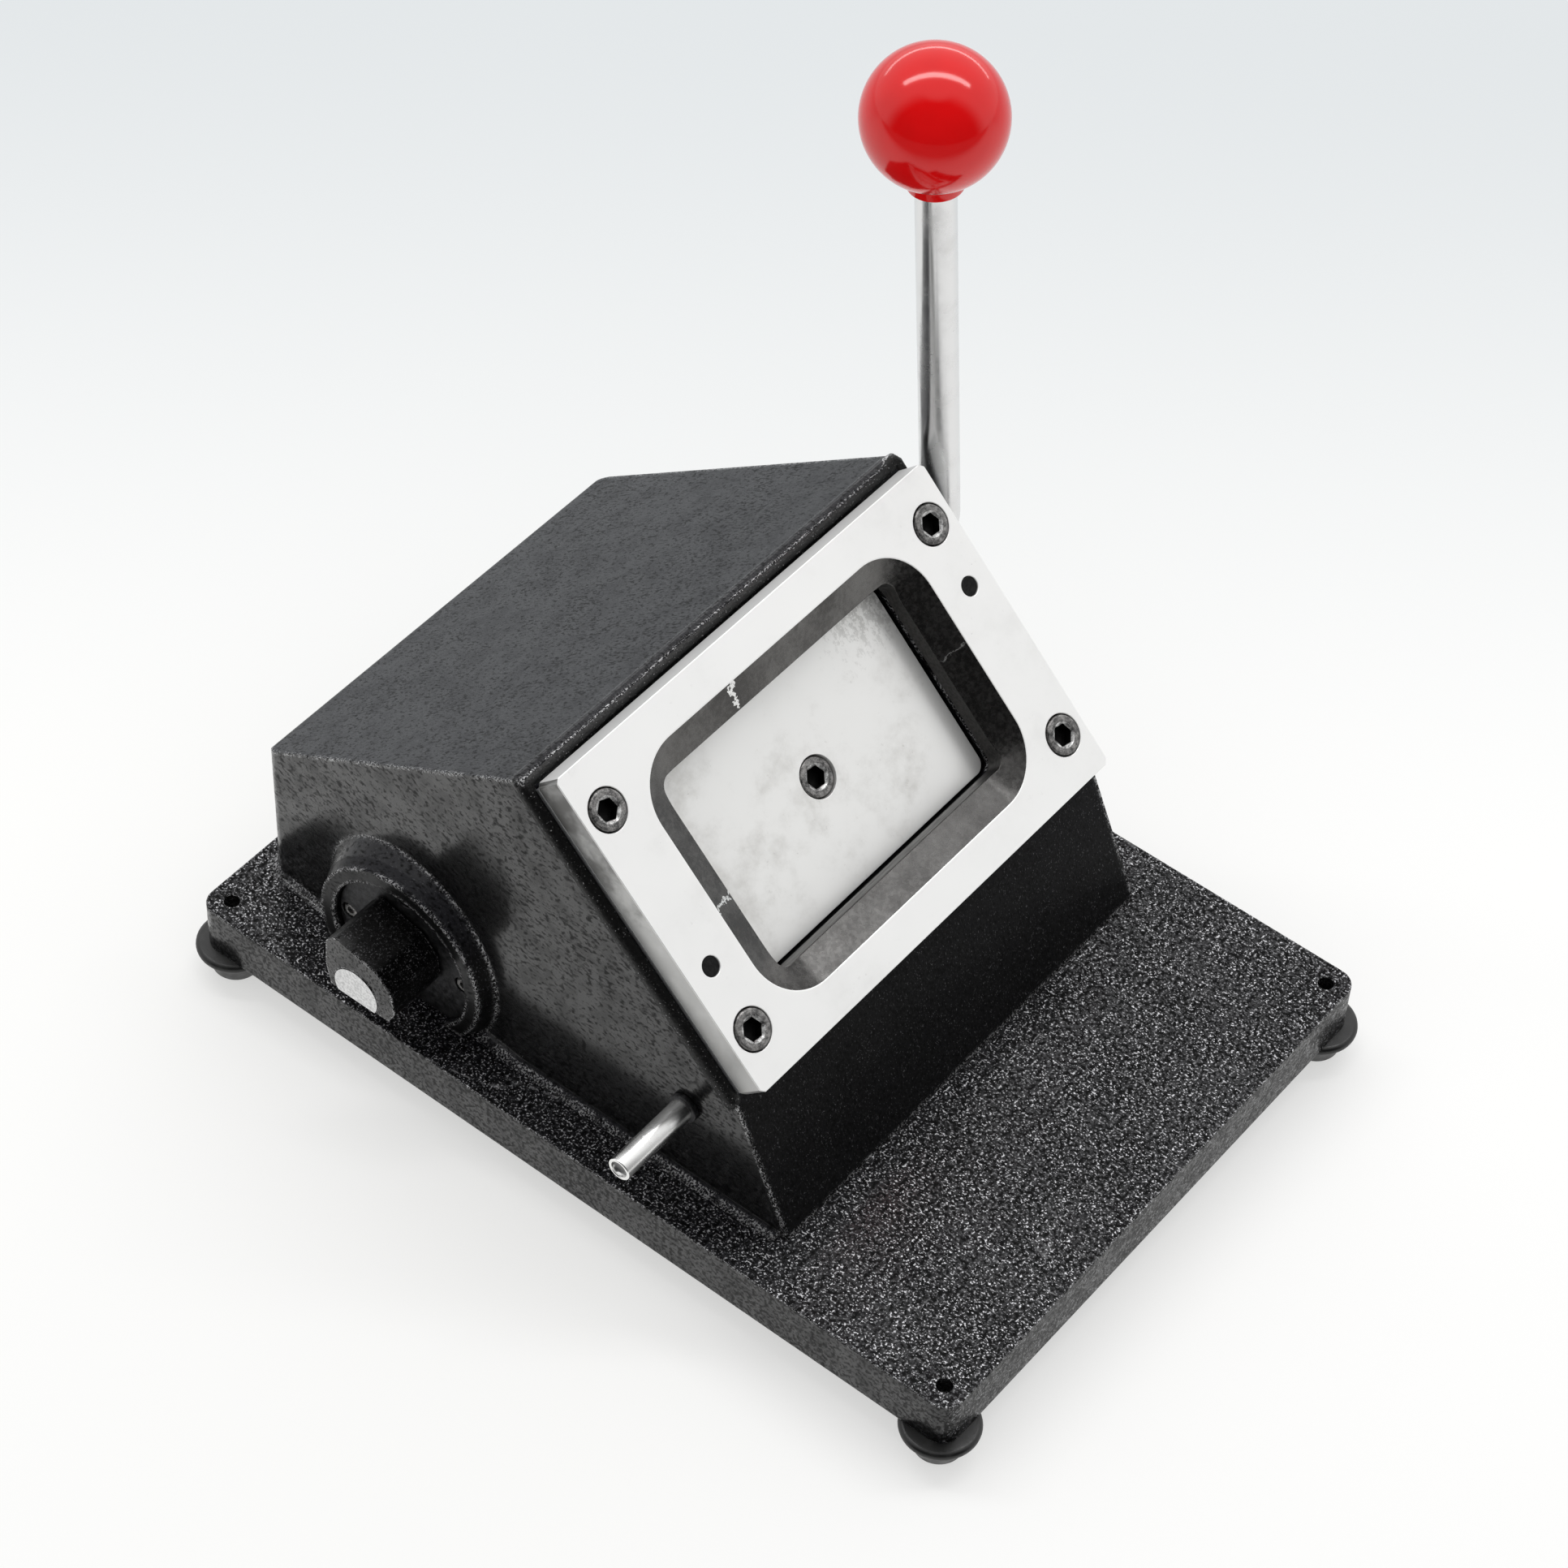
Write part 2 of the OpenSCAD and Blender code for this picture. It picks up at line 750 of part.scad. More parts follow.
module guide_plate() {
    color("#8a8c8f")
    difference() {
        slab(wall_depth, guide_depth)
            chamfer_rect(2 * guide_half_w, 2 * guide_half_h, 2);
        slab(wall_depth - over, guide_depth + over)
            round_rect(card_w, card_h, card_r);
        slab(wall_depth - over, guide_depth + over)
            four_at(pillar_x, pillar_v)
                circle(d = pillar_d + 2 * fixed_gap);
        slab(wall_depth - over, guide_depth + over)
            four_at(guide_screw_x, guide_screw_v)
                circle(d = m5_d + 0.5);
        slab(guide_depth - m5_head_h - 0.3, guide_depth + over)
            four_at(guide_screw_x, guide_screw_v)
                circle(d = m5_pocket_d);
    }
}

module guide_plate_screws() {
    color("#3b3b3d")
    on_die(guide_depth - 0.3)
        four_at(guide_screw_x, guide_screw_v)
            rotate([180, 0, 0])
                cap_screw(m5_d, m5_head_d, m5_head_h, guide_t - m5_head_h + 8.5, 4);
}

module guide_pillars() {
    color("#c9cbcd")
    on_die(pillar_end)
        four_at(pillar_x, pillar_v) {
            translate([0, 0, 1])
                cylinder(d = pillar_d, h = pillar_end - wall_depth - 1);
            cylinder(d1 = pillar_d - 2, d2 = pillar_d, h = 1);
        }
}

module punch() {
    color("#ececea")
    difference() {
        slab(punch_rest, carrier_depth)
            round_rect(card_w - 2 * punch_gap, card_h - 2 * punch_gap, card_r - punch_gap);
        slab(punch_rest - over, punch_rest + m6_head_h + 0.4)
            circle(d = m6_pocket_d);
        slab(punch_rest - over, carrier_depth + over)
            circle(d = m6_d + 0.6);
        slab(carrier_depth - 9, carrier_depth + over)
            punch_dowel_spots()
                circle(d = m6_d + 2 * fixed_gap);
    }
}

module punch_dowel_spots() {
    for (side = [-1, 1]) {
        translate([side * punch_dowel_x, side * -punch_dowel_v])
            children();
    }
}

module punch_screw() {
    color("#3b3b3d")
    on_die(punch_rest + 0.4)
        cap_screw(m6_d, m6_head_d, m6_head_h, punch_len + carrier_t - m6_head_h - 3, m6_socket);
}

module punch_dowels() {
    color("#c9cbcd")
    slab(carrier_depth - 8.5, carrier_depth + 8.5)
        punch_dowel_spots()
            circle(d = m6_d);
}

module punch_carrier() {
    color("#7d8084")
    difference() {
        slab(carrier_depth, ram_depth) {
            chamfer_rect(2 * carrier_half_w, 2 * carrier_ear_half_h, 2);
            chamfer_rect(2 * carrier_mid_half_w, 2 * carrier_mid_half_h, 2);
        }
        slab(carrier_depth - over, ram_depth + over)
            four_at(pillar_x, pillar_v)
                circle(pillar_bush_r + fixed_gap);
        slab(carrier_depth - over, ram_depth + over)
            circle(d = m6_d + 2 * fixed_gap);
        slab(carrier_depth - over, carrier_depth + 9)
            punch_dowel_spots()
                circle(d = m6_d + 2 * fixed_gap);
        slab(ram_depth - 9, ram_depth + over)
            four_at(ram_screw_x, ram_screw_v)
                circle(d = m5_d + 2 * fixed_gap);
    }
}

module pillar_bushes() {
    color("#b08d4a")
    difference() {
        union() {
            slab(carrier_depth + 0.2, ram_depth + 2)
                four_at(pillar_x, pillar_v)
                    circle(pillar_bush_r);
            slab(ram_depth, ram_depth + 2)
                four_at(pillar_x, pillar_v)
                    circle(pillar_bush_flange_r);
        }
        slab(carrier_depth - over, ram_depth + 2 + over)
            four_at(pillar_x, pillar_v)
                circle(pillar_d / 2 + run_gap);
    }
}

// The ram: a flange on the carrier, a tapered neck, and an eye with a short slot
// across the travel, in which the crank pin runs.
module ram() {
    neck_end = ram_depth + ram_flange_t;
    slot_r = pin_d / 2 + slot_gap;
    low = pin_v - 0.3;
    high = pin_v_high + 0.3;
    difference() {
        union() {
            slab(ram_depth, neck_end)
                chamfer_rect(2 * ram_flange_half, 2 * (ram_screw_v + 7), 2);
            along_x(-eye_half_w, eye_half_w) {
                polygon([
                    die_yz(-ram_screw_v, neck_end - 2),
                    die_yz(ram_screw_v + 6, neck_end - 2),
                    die_yz(pin_v + eye_r * cos(20), pin_depth - eye_r * sin(20)),
                    die_yz(pin_v, pin_depth),
                    die_yz(pin_v - eye_r * cos(20), pin_depth - eye_r * sin(20))
                ]);
                translate(pin_at)
                    circle(eye_r);
            }
        }
        along_x(-eye_half_w - over, eye_half_w + over) {
            translate(die_yz(low, pin_depth))
                circle(slot_r);
            translate(die_yz(high, pin_depth))
                circle(slot_r);
            polygon([
                die_yz(low, pin_depth - slot_r),
                die_yz(high, pin_depth - slot_r),
                die_yz(high, pin_depth + slot_r),
                die_yz(low, pin_depth + slot_r)
            ]);
        }
        slab(ram_depth - over, neck_end + over)
            four_at(ram_screw_x, ram_screw_v)
                circle(d = m5_d + 0.5);
        slab(ram_depth - over, ram_depth + 3)
            circle(d = m6_d + 1);
    }
}

module ram_screws() {
    color("#3b3b3d")
    on_die(ram_depth + ram_flange_t + m5_head_h)
        four_at(ram_screw_x, ram_screw_v)
            rotate([180, 0, 0])
                cap_screw(m5_d, m5_head_d, m5_head_h, ram_flange_t + 8, 4);
}

module shaft_bush(side, rim_x) {
    color("#b08d4a")
    translate([side * bush_inner_x, shaft_at.x, shaft_at.y])
        rotate([0, side * 90, 0])
            difference() {
                union() {
                    translate([0, 0, -bush_flange_t])
                        cylinder(r = bush_flange_r, h = bush_flange_t);
                    translate([0, 0, -0.1])
                        cylinder(r = bush_r, h = rim_x - cover_pocket_t - bush_inner_x);
                }
                translate([0, 0, -bush_flange_t - over])
                    cylinder(r = journal_r + run_gap, h = rim_x);
            }
}

module bearing_cover(side, rim_x) {
    color("#6f7174")
    difference() {
        intersection() {
            shaft_line(
                side < 0 ? -rim_x + cover_pocket_t - cover_t : rim_x - cover_pocket_t,
                side < 0 ? -rim_x + cover_pocket_t : rim_x - cover_pocket_t + cover_t
            )
                circle(cover_r);
            translate([-2 * rim_x, 0, base_top + 0.2])
                cube([4 * rim_x, 2 * base_d, plate_z]);
        }
        shaft_line(-2 * rim_x, 2 * rim_x) {
            circle(journal_r + 0.5);
            for (angle = [0, 90, 180]) {
                rotate(angle)
                    translate([cover_screw_r, 0])
                        circle(d = cover_screw_d + 0.4);
            }
        }
        for (angle = [0, 90, 180]) {
            spot = shaft_at + turned([cover_screw_r, 0], angle);
            translate([side * (rim_x - cover_pocket_t + cover_t - cover_head_h - 0.2), spot.x, spot.y])
                rotate([0, side * 90, 0])
                    cylinder(d = cover_head_d + 0.5, h = cover_head_h + over);
        }
    }
}

module cover_screws() {
    color("#7b7d80")
    for (side = [-1, 1]) {
        rim_x = side < 0 ? boss_left_x : boss_right_x;
        for (angle = [0, 90, 180]) {
            spot = shaft_at + turned([cover_screw_r, 0], angle);
            translate([side * (rim_x - cover_pocket_t + cover_t - 0.2), spot.x, spot.y])
                rotate([0, side * 90, 0])
                    cap_screw(cover_screw_d, cover_head_d, cover_head_h, 6, 2);
        }
    }
}

// One side of the crankshaft: a web that holds the pin, a shoulder and a journal.
module crank_side() {
    spread = pin_at - shaft_at;
    across = left_of(unit(spread));
    difference() {
        union() {
            along_x(web_x, web_x + web_t) {
                translate(shaft_at)
                    circle(web_shaft_r);
                translate(pin_at)
                    circle(web_pin_r);
                polygon([
                    shaft_at + across * web_shaft_r,
                    shaft_at - across * web_shaft_r,
                    pin_at - across * web_pin_r,
                    pin_at + across * web_pin_r
                ]);
            }
            shaft_line(web_x + web_t - 0.1, bush_inner_x - bush_flange_t - side_gap)
                circle(shoulder_r);
        }
        along_x(web_x - over, web_x + web_t - 1)
            translate(pin_at)
                circle(pin_d / 2 - 1 + fixed_gap);
    }
}

module shaft_left() {
    color("#c4c6c8") {
        mirror([1, 0, 0])
            crank_side();
        shaft_line(-dog_x, -web_x - web_t + 0.1)
            circle(journal_r);
        difference() {
            shaft_line(-dog_end_x, -dog_x + 0.1)
                intersection() {
                    circle(left_end_r);
                    translate([-left_end_r, -dog_flat])
                        square([2 * left_end_r, dog_flat + left_end_r + over]);
                }
            dog_pin_hole(fixed_gap);
        }
    }
}

module shaft_right() {
    color("#c4c6c8")
    difference() {
        union() {
            crank_side();
            shaft_line(web_x + web_t - 0.1, hub_x - 0.2)
                circle(journal_r);
            shaft_line(hub_x - 0.3, lever_x + hub_w / 2 + 0.3)
                circle(end_r);
        }
    }
}

module crank_pin() {
    color("#d0d2d4") {
        along_x(-web_x + 0.1, web_x - 0.1)
            translate(pin_at)
                circle(d = pin_d);
        along_x(-web_x - web_t + 1.3, web_x + web_t - 1.3)
            translate(pin_at)
                circle(pin_d / 2 - 1);
    }
}

module dog_pin_hole(gap) {
    translate([-(dog_x + dog_end_x) / 2, shaft_at.x, shaft_at.y - dog_flat - over])
        cylinder(d = dog_pin_d + 2 * gap, h = dog_flat + dog_pin_len + 0.6 + over);
}

// The end block, open below: its underside is level with the flat of the shaft end.
module end_dog() {
    color("#242425")
    difference() {
        shaft_line(-dog_end_x + 0.3, -dog_x - 0.3)
            difference() {
                soft_polygon(dog_points, dog_rounds);
                circle(left_end_r + fixed_gap);
            }
        dog_pin_hole(fixed_gap);
    }
}

module end_dog_pin() {
    color("#c9cbcd")
    translate([-(dog_x + dog_end_x) / 2, shaft_at.x, shaft_at.y - dog_flat + 0.3])
        cylinder(d = dog_pin_d, h = dog_flat + dog_pin_len);
}

// Turns drawings so that +Z runs from the shaft's axis along the lower arm.
module on_lower_arm() {
    translate([lever_x, shaft_at.x, shaft_at.y])
        rotate([lower_angle, 0, 0])
            children();
}

module lever_hub() {
    color("#2b2b2d")
    difference() {
        union() {
            shaft_line(hub_x, hub_x + hub_w)
                circle(hub_r);
            on_lower_arm()
                cylinder(r = socket_r, h = socket_reach);
        }
        shaft_line(hub_x - over, hub_x + hub_w + over)
            circle(end_r + fixed_gap);
        on_lower_arm()
            translate([0, 0, rod_start - 0.2])
                cylinder(d = rod_d + 2 * fixed_gap, h = socket_reach);
        on_lower_arm()
            rotate([90, 0, 0])
                translate([0, 0, end_r - 2])
                    cylinder(d = m6_d + 2 * fixed_gap, h = hub_r);
    }
}

module hub_set_screw() {
    color("#3b3b3d")
    on_lower_arm()
        rotate([90, 0, 0])
            translate([0, 0, end_r + 0.1])
                difference() {
                    cylinder(d = m6_d, h = hub_r - end_r - 0.8);
                    translate([0, 0, hub_r - end_r - 3.5])
                        cylinder(d = 3 / cos(30), h = 4, $fn = 6);
                }
}

module lever_rod() {
    turn = lower_angle + upper_angle;
    tangent = bend_r * tan(turn / 2);
    color("#d3d5d7")
    on_lower_arm() {
        translate([0, 0, rod_start])
            cylinder(d = rod_d, h = lower_arm - tangent - rod_start + bend_lap);
        translate([0, bend_r, lower_arm - tangent])
            rotate([90, 0, -90])
                rotate_extrude(angle = turn)
                    translate([bend_r, 0])
                        circle(d = rod_d - 0.04);
        translate([0, 0, lower_arm])
            rotate([-turn, 0, 0])
                translate([0, 0, tangent - bend_lap])
                    cylinder(d = rod_d, h = upper_arm - tangent + bend_lap + rod_in_ball);
    }
}

module ball_knob() {
    color("#c8151b")
    on_lower_arm()
        translate([0, 0, lower_arm])
            rotate([-lower_angle - upper_angle, 0, 0])
                translate([0, 0, upper_arm])
                    difference() {
                        union() {
                            sphere(d = ball_d);
                            translate([0, 0, -ball_d / 2 - 1.6])
                                cylinder(r = neck_r, h = ball_d / 2);
                        }
                        translate([0, 0, -ball_d])
                            cylinder(d = rod_d + 2 * fixed_gap, h = ball_d + rod_in_ball + 0.3);
                    }
}

module side_peg() {
    color("#cfd1d3")
    difference() {
        translate([-body_w / 2 + peg_root - 0.3, peg_y, peg_z])
            rotate([0, -90, 0]) {
                length = peg_tip_x - body_w / 2 + peg_root - 0.3;
                cylinder(d = peg_d, h = length - 0.6);
                translate([0, 0, length - 0.6])
                    cylinder(d1 = peg_d, d2 = peg_d - 1.2, h = 0.6);
            }
        translate([-peg_tip_x, peg_y, peg_z])
            rotate([0, 90, 0])
                cylinder(d1 = 2.4, d2 = 0.6, h = 1);
    }
}

module side_peg_collar() {
    color("#1f1f20")
    along_x(-body_w / 2 - 1.6, -body_w / 2)
        translate([peg_y, peg_z])
            difference() {
                circle(d = peg_d + 3);
                circle(d = peg_d + 2 * fixed_gap);
            }
}

base_plate();
rubber_feet();
foot_screws();
housing();
housing_bolts();
die_plate();
spacer_strips();
die_plate_screws();
dowel_pins();
guide_plate();
guide_plate_screws();
guide_pillars();
punch();
punch_screw();
punch_dowels();
punch_carrier();
pillar_bushes();
ram();
ram_screws();
shaft_bush(-1, boss_left_x);  // shaft_bush_left
shaft_bush(1, boss_right_x);  // shaft_bush_right
bearing_cover(-1, boss_left_x);  // bearing_cover_left
bearing_cover(1, boss_right_x);  // bearing_cover_right
cover_screws();
shaft_left();
shaft_right();
crank_pin();
end_dog();
end_dog_pin();
lever_hub();
hub_set_screw();
lever_rod();
ball_knob();
side_peg();
side_peg_collar();
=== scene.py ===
"""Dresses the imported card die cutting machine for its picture.

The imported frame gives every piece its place. This script gives the pieces their rounded
edges, screw heads, textures and finishes, and sets up the floor, lights and camera.
Lengths are in metres. X runs to the lever's side, Y to the back and Z up.
"""

from __future__ import annotations

import json
import logging
import math
from dataclasses import dataclass
from enum import Enum
from functools import cached_property
from typing import Any, Sequence

import bmesh
import bpy
from mathutils import Matrix, Vector

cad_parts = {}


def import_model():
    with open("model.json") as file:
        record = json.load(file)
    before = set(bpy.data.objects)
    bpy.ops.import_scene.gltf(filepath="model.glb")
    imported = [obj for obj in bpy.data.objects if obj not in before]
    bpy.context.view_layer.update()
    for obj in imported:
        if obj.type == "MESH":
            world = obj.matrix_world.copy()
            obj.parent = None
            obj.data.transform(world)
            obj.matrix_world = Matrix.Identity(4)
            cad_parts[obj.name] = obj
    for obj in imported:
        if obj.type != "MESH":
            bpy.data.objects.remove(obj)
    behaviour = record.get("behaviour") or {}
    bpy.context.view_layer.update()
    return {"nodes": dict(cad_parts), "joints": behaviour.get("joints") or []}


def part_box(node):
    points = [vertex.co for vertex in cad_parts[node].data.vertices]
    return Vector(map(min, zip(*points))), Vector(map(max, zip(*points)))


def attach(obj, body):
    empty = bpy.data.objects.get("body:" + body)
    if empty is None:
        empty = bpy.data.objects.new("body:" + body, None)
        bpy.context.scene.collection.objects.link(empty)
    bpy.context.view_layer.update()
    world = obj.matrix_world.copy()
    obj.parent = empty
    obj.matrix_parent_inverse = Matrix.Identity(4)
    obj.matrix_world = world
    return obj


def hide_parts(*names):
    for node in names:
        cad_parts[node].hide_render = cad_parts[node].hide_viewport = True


LOG = logging.getLogger("hand_press")
MM = 0.001
TURNED_CREASE = math.radians(34)
SWEPT_CREASE = math.radians(40)
Colour = tuple[float, float, float]
Outline = Sequence[tuple[float, ...]]


class Body(Enum):
    """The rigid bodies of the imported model."""

    FRAME = "frame"
    RAM = "ram_group"
    CRANK = "crank_group"


class Wire:
    """A socket of a material that does its maths by Python's operators."""

    def __init__(self, net: "ShaderNet", socket: bpy.types.NodeSocket) -> None:
        """Wraps an output socket of the given net."""
        self.net = net
        self.socket = socket

    def maths(self, operation: str, *values: Any) -> "Wire":
        """Adds one Math node.

        Args:
            operation: The Math node's operation.
            values: Its inputs in order, wires or numbers.

        Returns:
            The node's output.
        """
        return self.net.add("ShaderNodeMath", {"operation": operation}, dict(enumerate(values)))

    def __add__(self, other: Any) -> "Wire":
        """Sum."""
        return self.maths("ADD", self, other)

    __radd__ = __add__

    def __sub__(self, other: Any) -> "Wire":
        """Difference."""
        return self.maths("SUBTRACT", self, other)

    def __rsub__(self, other: Any) -> "Wire":
        """Difference from a number."""
        return self.maths("SUBTRACT", other, self)

    def __mul__(self, other: Any) -> "Wire":
        """Product."""
        return self.maths("MULTIPLY", self, other)

    __rmul__ = __mul__

    def __abs__(self) -> "Wire":
        """Size without its sign."""
        return self.maths("ABSOLUTE", self)

    def between(
        self, low: float, high: float, to_low: float = 0.0, to_high: float = 1.0
    ) -> "Wire":
        """Maps a span of values smoothly to another.

        Args:
            low: Value that becomes to_low.
            high: Value that becomes to_high.
            to_low: Result at and below low.
            to_high: Result at and above high.

        Returns:
            The mapped value.
        """
        spans = {"From Min": low, "From Max": high, "To Min": to_low, "To Max": to_high}
        smooth = {"interpolation_type": "SMOOTHSTEP"}
        return self.net.add("ShaderNodeMapRange", smooth, {"Value": self, **spans})


class ShaderNet:
    """The node tree of one material, or of the world."""

    def __init__(self, name: str, owner: bpy.types.ID | None = None) -> None:
        """Starts an empty tree.

        Args:
            name: Name of the material that is made where no owner is given.
            owner: The world or material that holds the tree.
        """
        self.material = owner or bpy.data.materials.new(name)
        self.material.use_nodes = True
        self.tree = self.material.node_tree
        self.tree.nodes.clear()
        coordinates = "Generated" if owner else "Object"
        self.place = self.add("ShaderNodeTexCoord", {}, {}, coordinates)

    def add(
        self, kind: str, settings: dict[str, Any], inputs: dict[Any, Any], output: Any = 0
    ) -> Wire:
        """Adds a node of any kind.

        Args:
            kind: The node's type.
            settings: Its properties, set first.
            inputs: Socket names or numbers, with a wire or a value each.
            output: Name or number of the output to return.

        Returns:
            The chosen output.
        """
        node = self.tree.nodes.new(kind)
        for key, value in settings.items():
            setattr(node, key, value)
        for key, value in inputs.items():
            socket = node.inputs[key]
            if isinstance(value, Wire):
                self.tree.links.new(value.socket, socket)
            elif value is not None:
                is_colour = socket.type == "RGBA" and len(value) == 3
                socket.default_value = (*value, 1.0) if is_colour else value
        return Wire(self, node.outputs[output])

    def shifted(self, stretch: Sequence[float], turn: Sequence[float] = (0, 0, 0)) -> Wire:
        """Object coordinates, scaled and turned by a Mapping node."""
        inputs = {"Vector": self.place, "Scale": stretch, "Rotation": turn}
        return self.add("ShaderNodeMapping", {}, inputs)

    def noise(
        self, size: float, detail: float = 3.0, rough: float = 0.55, at: Wire | None = None
    ) -> Wire:
        """Noise whose features are about size metres across."""
        inputs = {"Scale": 1.0 / size, "Detail": detail, "Roughness": rough}
        return self.add("ShaderNodeTexNoise", {}, {"Vector": at or self.place, **inputs})

    def blend(self, share: Any, first: Any, second: Any) -> Wire:
        """Mixes two colours; share 1 gives the second."""
        return self.add("ShaderNodeMix", {"data_type": "RGBA"}, {0: share, 6: first, 7: second}, 2)

    def dot(self, first: Wire, second: Any) -> Wire:
        """Dot product of two vectors."""
        product = {"operation": "DOT_PRODUCT"}
        return self.add("ShaderNodeVectorMath", product, {0: first, 1: second}, "Value")

    def ray(self, kind: str) -> Wire:
        """1 for rays of one kind, as the Light Path node names them."""
        return self.add("ShaderNodeLightPath", {}, {}, kind)

    def normal(self) -> Wire:
        """The surface's own normal."""
        return self.add("ShaderNodeNewGeometry", {}, {}, "Normal")

    def facing(self, axis: str) -> Wire:
        """One of the normal's three coordinates."""
        return self.add("ShaderNodeSeparateXYZ", {}, {"Vector": self.normal()}, axis)

    def along(self, axis: str) -> Wire:
        """One of the three object coordinates."""
        return self.add("ShaderNodeSeparateXYZ", {}, {"Vector": self.place}, axis)

    def softened(self, radius: float) -> Wire:
        """The surface's normal with its edges rounded off."""
        return self.add("ShaderNodeBevel", {"samples": 6}, {"Radius": radius})

    def edges(self, soft: Wire, low: float, high: float) -> Wire:
        """A mask that is 1 along the edges that a softened normal rounds off."""
        return (1.0 - self.dot(soft, self.normal())).between(low, high)

    def bump(
        self, height: Wire, depth: float, strength: float, over: Wire | None = None
    ) -> Wire:
        """Turns a height from 0 to 1 into a normal, with its depth in metres."""
        inputs = {"Height": height, "Distance": depth, "Strength": strength, "Normal": over}
        return self.add("ShaderNodeBump", {}, inputs, "Normal")

    def close(self, **inputs: Any) -> bpy.types.Material:
        """Ends the tree in a Principled shader.

        Args:
            inputs: Its sockets by name, with spaces written as underscores.

        Returns:
            The finished material.
        """
        named = {key.replace("_", " "): value for key, value in inputs.items()}
        self.end("ShaderNodeOutputMaterial", self.add("ShaderNodeBsdfPrincipled", {}, named))
        return self.material

    def end(self, kind: str, shader: Wire) -> None:
        """Joins a shader to an output node of that kind."""
        node = self.tree.nodes.new(kind)
        self.tree.links.new(shader.socket, node.inputs["Surface"])


@dataclass(frozen=True)
class PebblePaint:
    """Black paint with a pebbled skin: painted shade in its pits, a sheen on the raised grain,
    glints, and painted light and shade by facing.
    """

    name: str = "casting_paint"
    grain: float = 0.68 * MM
    stretch: Sequence[float] = (1.0, 0.42, 0.7)
    pit: Colour = (0.0010, 0.0010, 0.0010)
    wall: Colour = (0.0045, 0.0045, 0.0047)
    top: Colour = (0.016, 0.016, 0.019)
    glint: Colour = (0.22, 0.22, 0.23)
    chip: Colour = (0.62, 0.62, 0.63)
    scratch: Colour = (0.4, 0.4, 0.41)
    glint_from: float = 0.60
    top_glint: float = 0.25
    wall_glint: float = 0.10
    top_pits: float = 0.85
    wall_pits: float = 0.85
    pit_level: float = 0.42
    gloss: float = 0.17
    top_gloss: float = 0.52
    front_gloss: float = 0.06
    front_glint: float = 0.3
    scratches: float = 0.0
    foot: float = 24.0 * MM
    foot_line: Sequence[float] = (0.80 * MM, 0.40 * MM)
    softness: float = 2.2 * MM
    boss_from: float = 1.0
    boss_gloss: float = 0.4

    def build(self) -> bpy.types.Material:
        """Builds the finish.

        Returns:
            The material.
        """
        net = ShaderNet(self.name)
        facing_up = net.facing("Z").between(0.35, 0.85)
        facing_front = net.facing("Y").between(-0.5, -0.8)
        spread = net.shifted(self.stretch)
        grain = net.noise(self.grain, 3.0, 0.6, spread)
        fine = net.noise(self.grain * 0.5, 2.0, 0.6, spread)
        drift = net.noise(20 * MM, 3.0, 0.6)
        deep = facing_up.between(0, 1, self.wall_pits, self.top_pits)
        level = grain + drift.between(0.25, 0.75, -0.03, 0.03)
        pits = level.between(self.pit_level - 0.08, self.pit_level + 0.10, 1.0, 0.0) * deep
        glint = (fine * 0.6 + grain * 0.4).between(self.glint_from, self.glint_from + 0.07)
        shine = facing_up.between(0, 1, self.wall_glint, self.top_glint)
        shine = shine + facing_front * self.front_glint
        glint = glint * shine.between(0, 1)
        glint = glint * net.noise(2.5 * MM, 2.0).between(0.35, 0.6, 0.25, 1.0)
        # Painted light and shade: up-facing faces take the top colour and walls the wall colour,
        # standing in for how the overhead light falls on them.
        colour = net.blend(facing_up, self.wall, self.top)
        # Painted shade: the pits of the grain take the near-black pit colour, and below they lose
        # their coat, standing in for the shade in those hollows.
        colour = net.blend(pits, colour, self.pit)
        colour = net.blend(glint, colour, self.glint)
        soft = net.softened(self.softness)
        specks = net.noise(0.55 * MM, 3.0, 0.7).between(0.50, 0.58)
        patches = net.noise(6 * MM, 2.0).between(0.30, 0.52)
        rims = net.edges(soft, 0.02, 0.12)
        cove = net.along("Z").between(*(self.foot + rise for rise in self.foot_line))
        rims = rims + cove * (1.0 - rims)
        worn = rims * specks * patches
        colour = net.blend(worn, colour, self.chip)
        if self.scratches:
            drawn = net.shifted((1, 0.1, 1), (0, 0, 0.35))
            line = abs(net.noise(26 * MM, 1.0, 0.4, drawn) - 0.52)
            broken = net.noise(3 * MM, 3.0).between(0.46, 0.60) * facing_up
            line = line.between(0.0, 0.004, 1, 0) * broken * self.scratches
            colour = net.blend(line, colour, self.scratch)
        # Painted shade: the coat is weaker on up-facing faces and weakest on front-facing ones,
        # which darkens the roof and the front slope.
        sheen = facing_up.between(0, 1, 1.0, self.top_gloss)
        sheen = sheen * facing_front.between(0, 1, 1.0, self.front_gloss)
        sheen = sheen * net.noise(7 * MM, 3.0, 0.6).between(0.35, 0.6, 0.72, 1.0)
        on_boss = abs(net.along("X")).between(self.boss_from, self.boss_from + 0.4 * MM)
        sheen = sheen * on_boss.between(0, 1, 1.0, self.boss_gloss)
        return net.close(
            Base_Color=colour,
            Metallic=glint + worn * 0.6,
            Roughness=grain.between(0.3, 0.7, 0.34, 0.5),
            Specular_IOR_Level=0.05,
            Coat_Weight=(1.0 - pits) * sheen,
            Coat_Roughness=self.gloss,
            Normal=net.bump(grain * 0.75 + fine * 0.25, 0.12 * MM, 0.7, soft),
        )


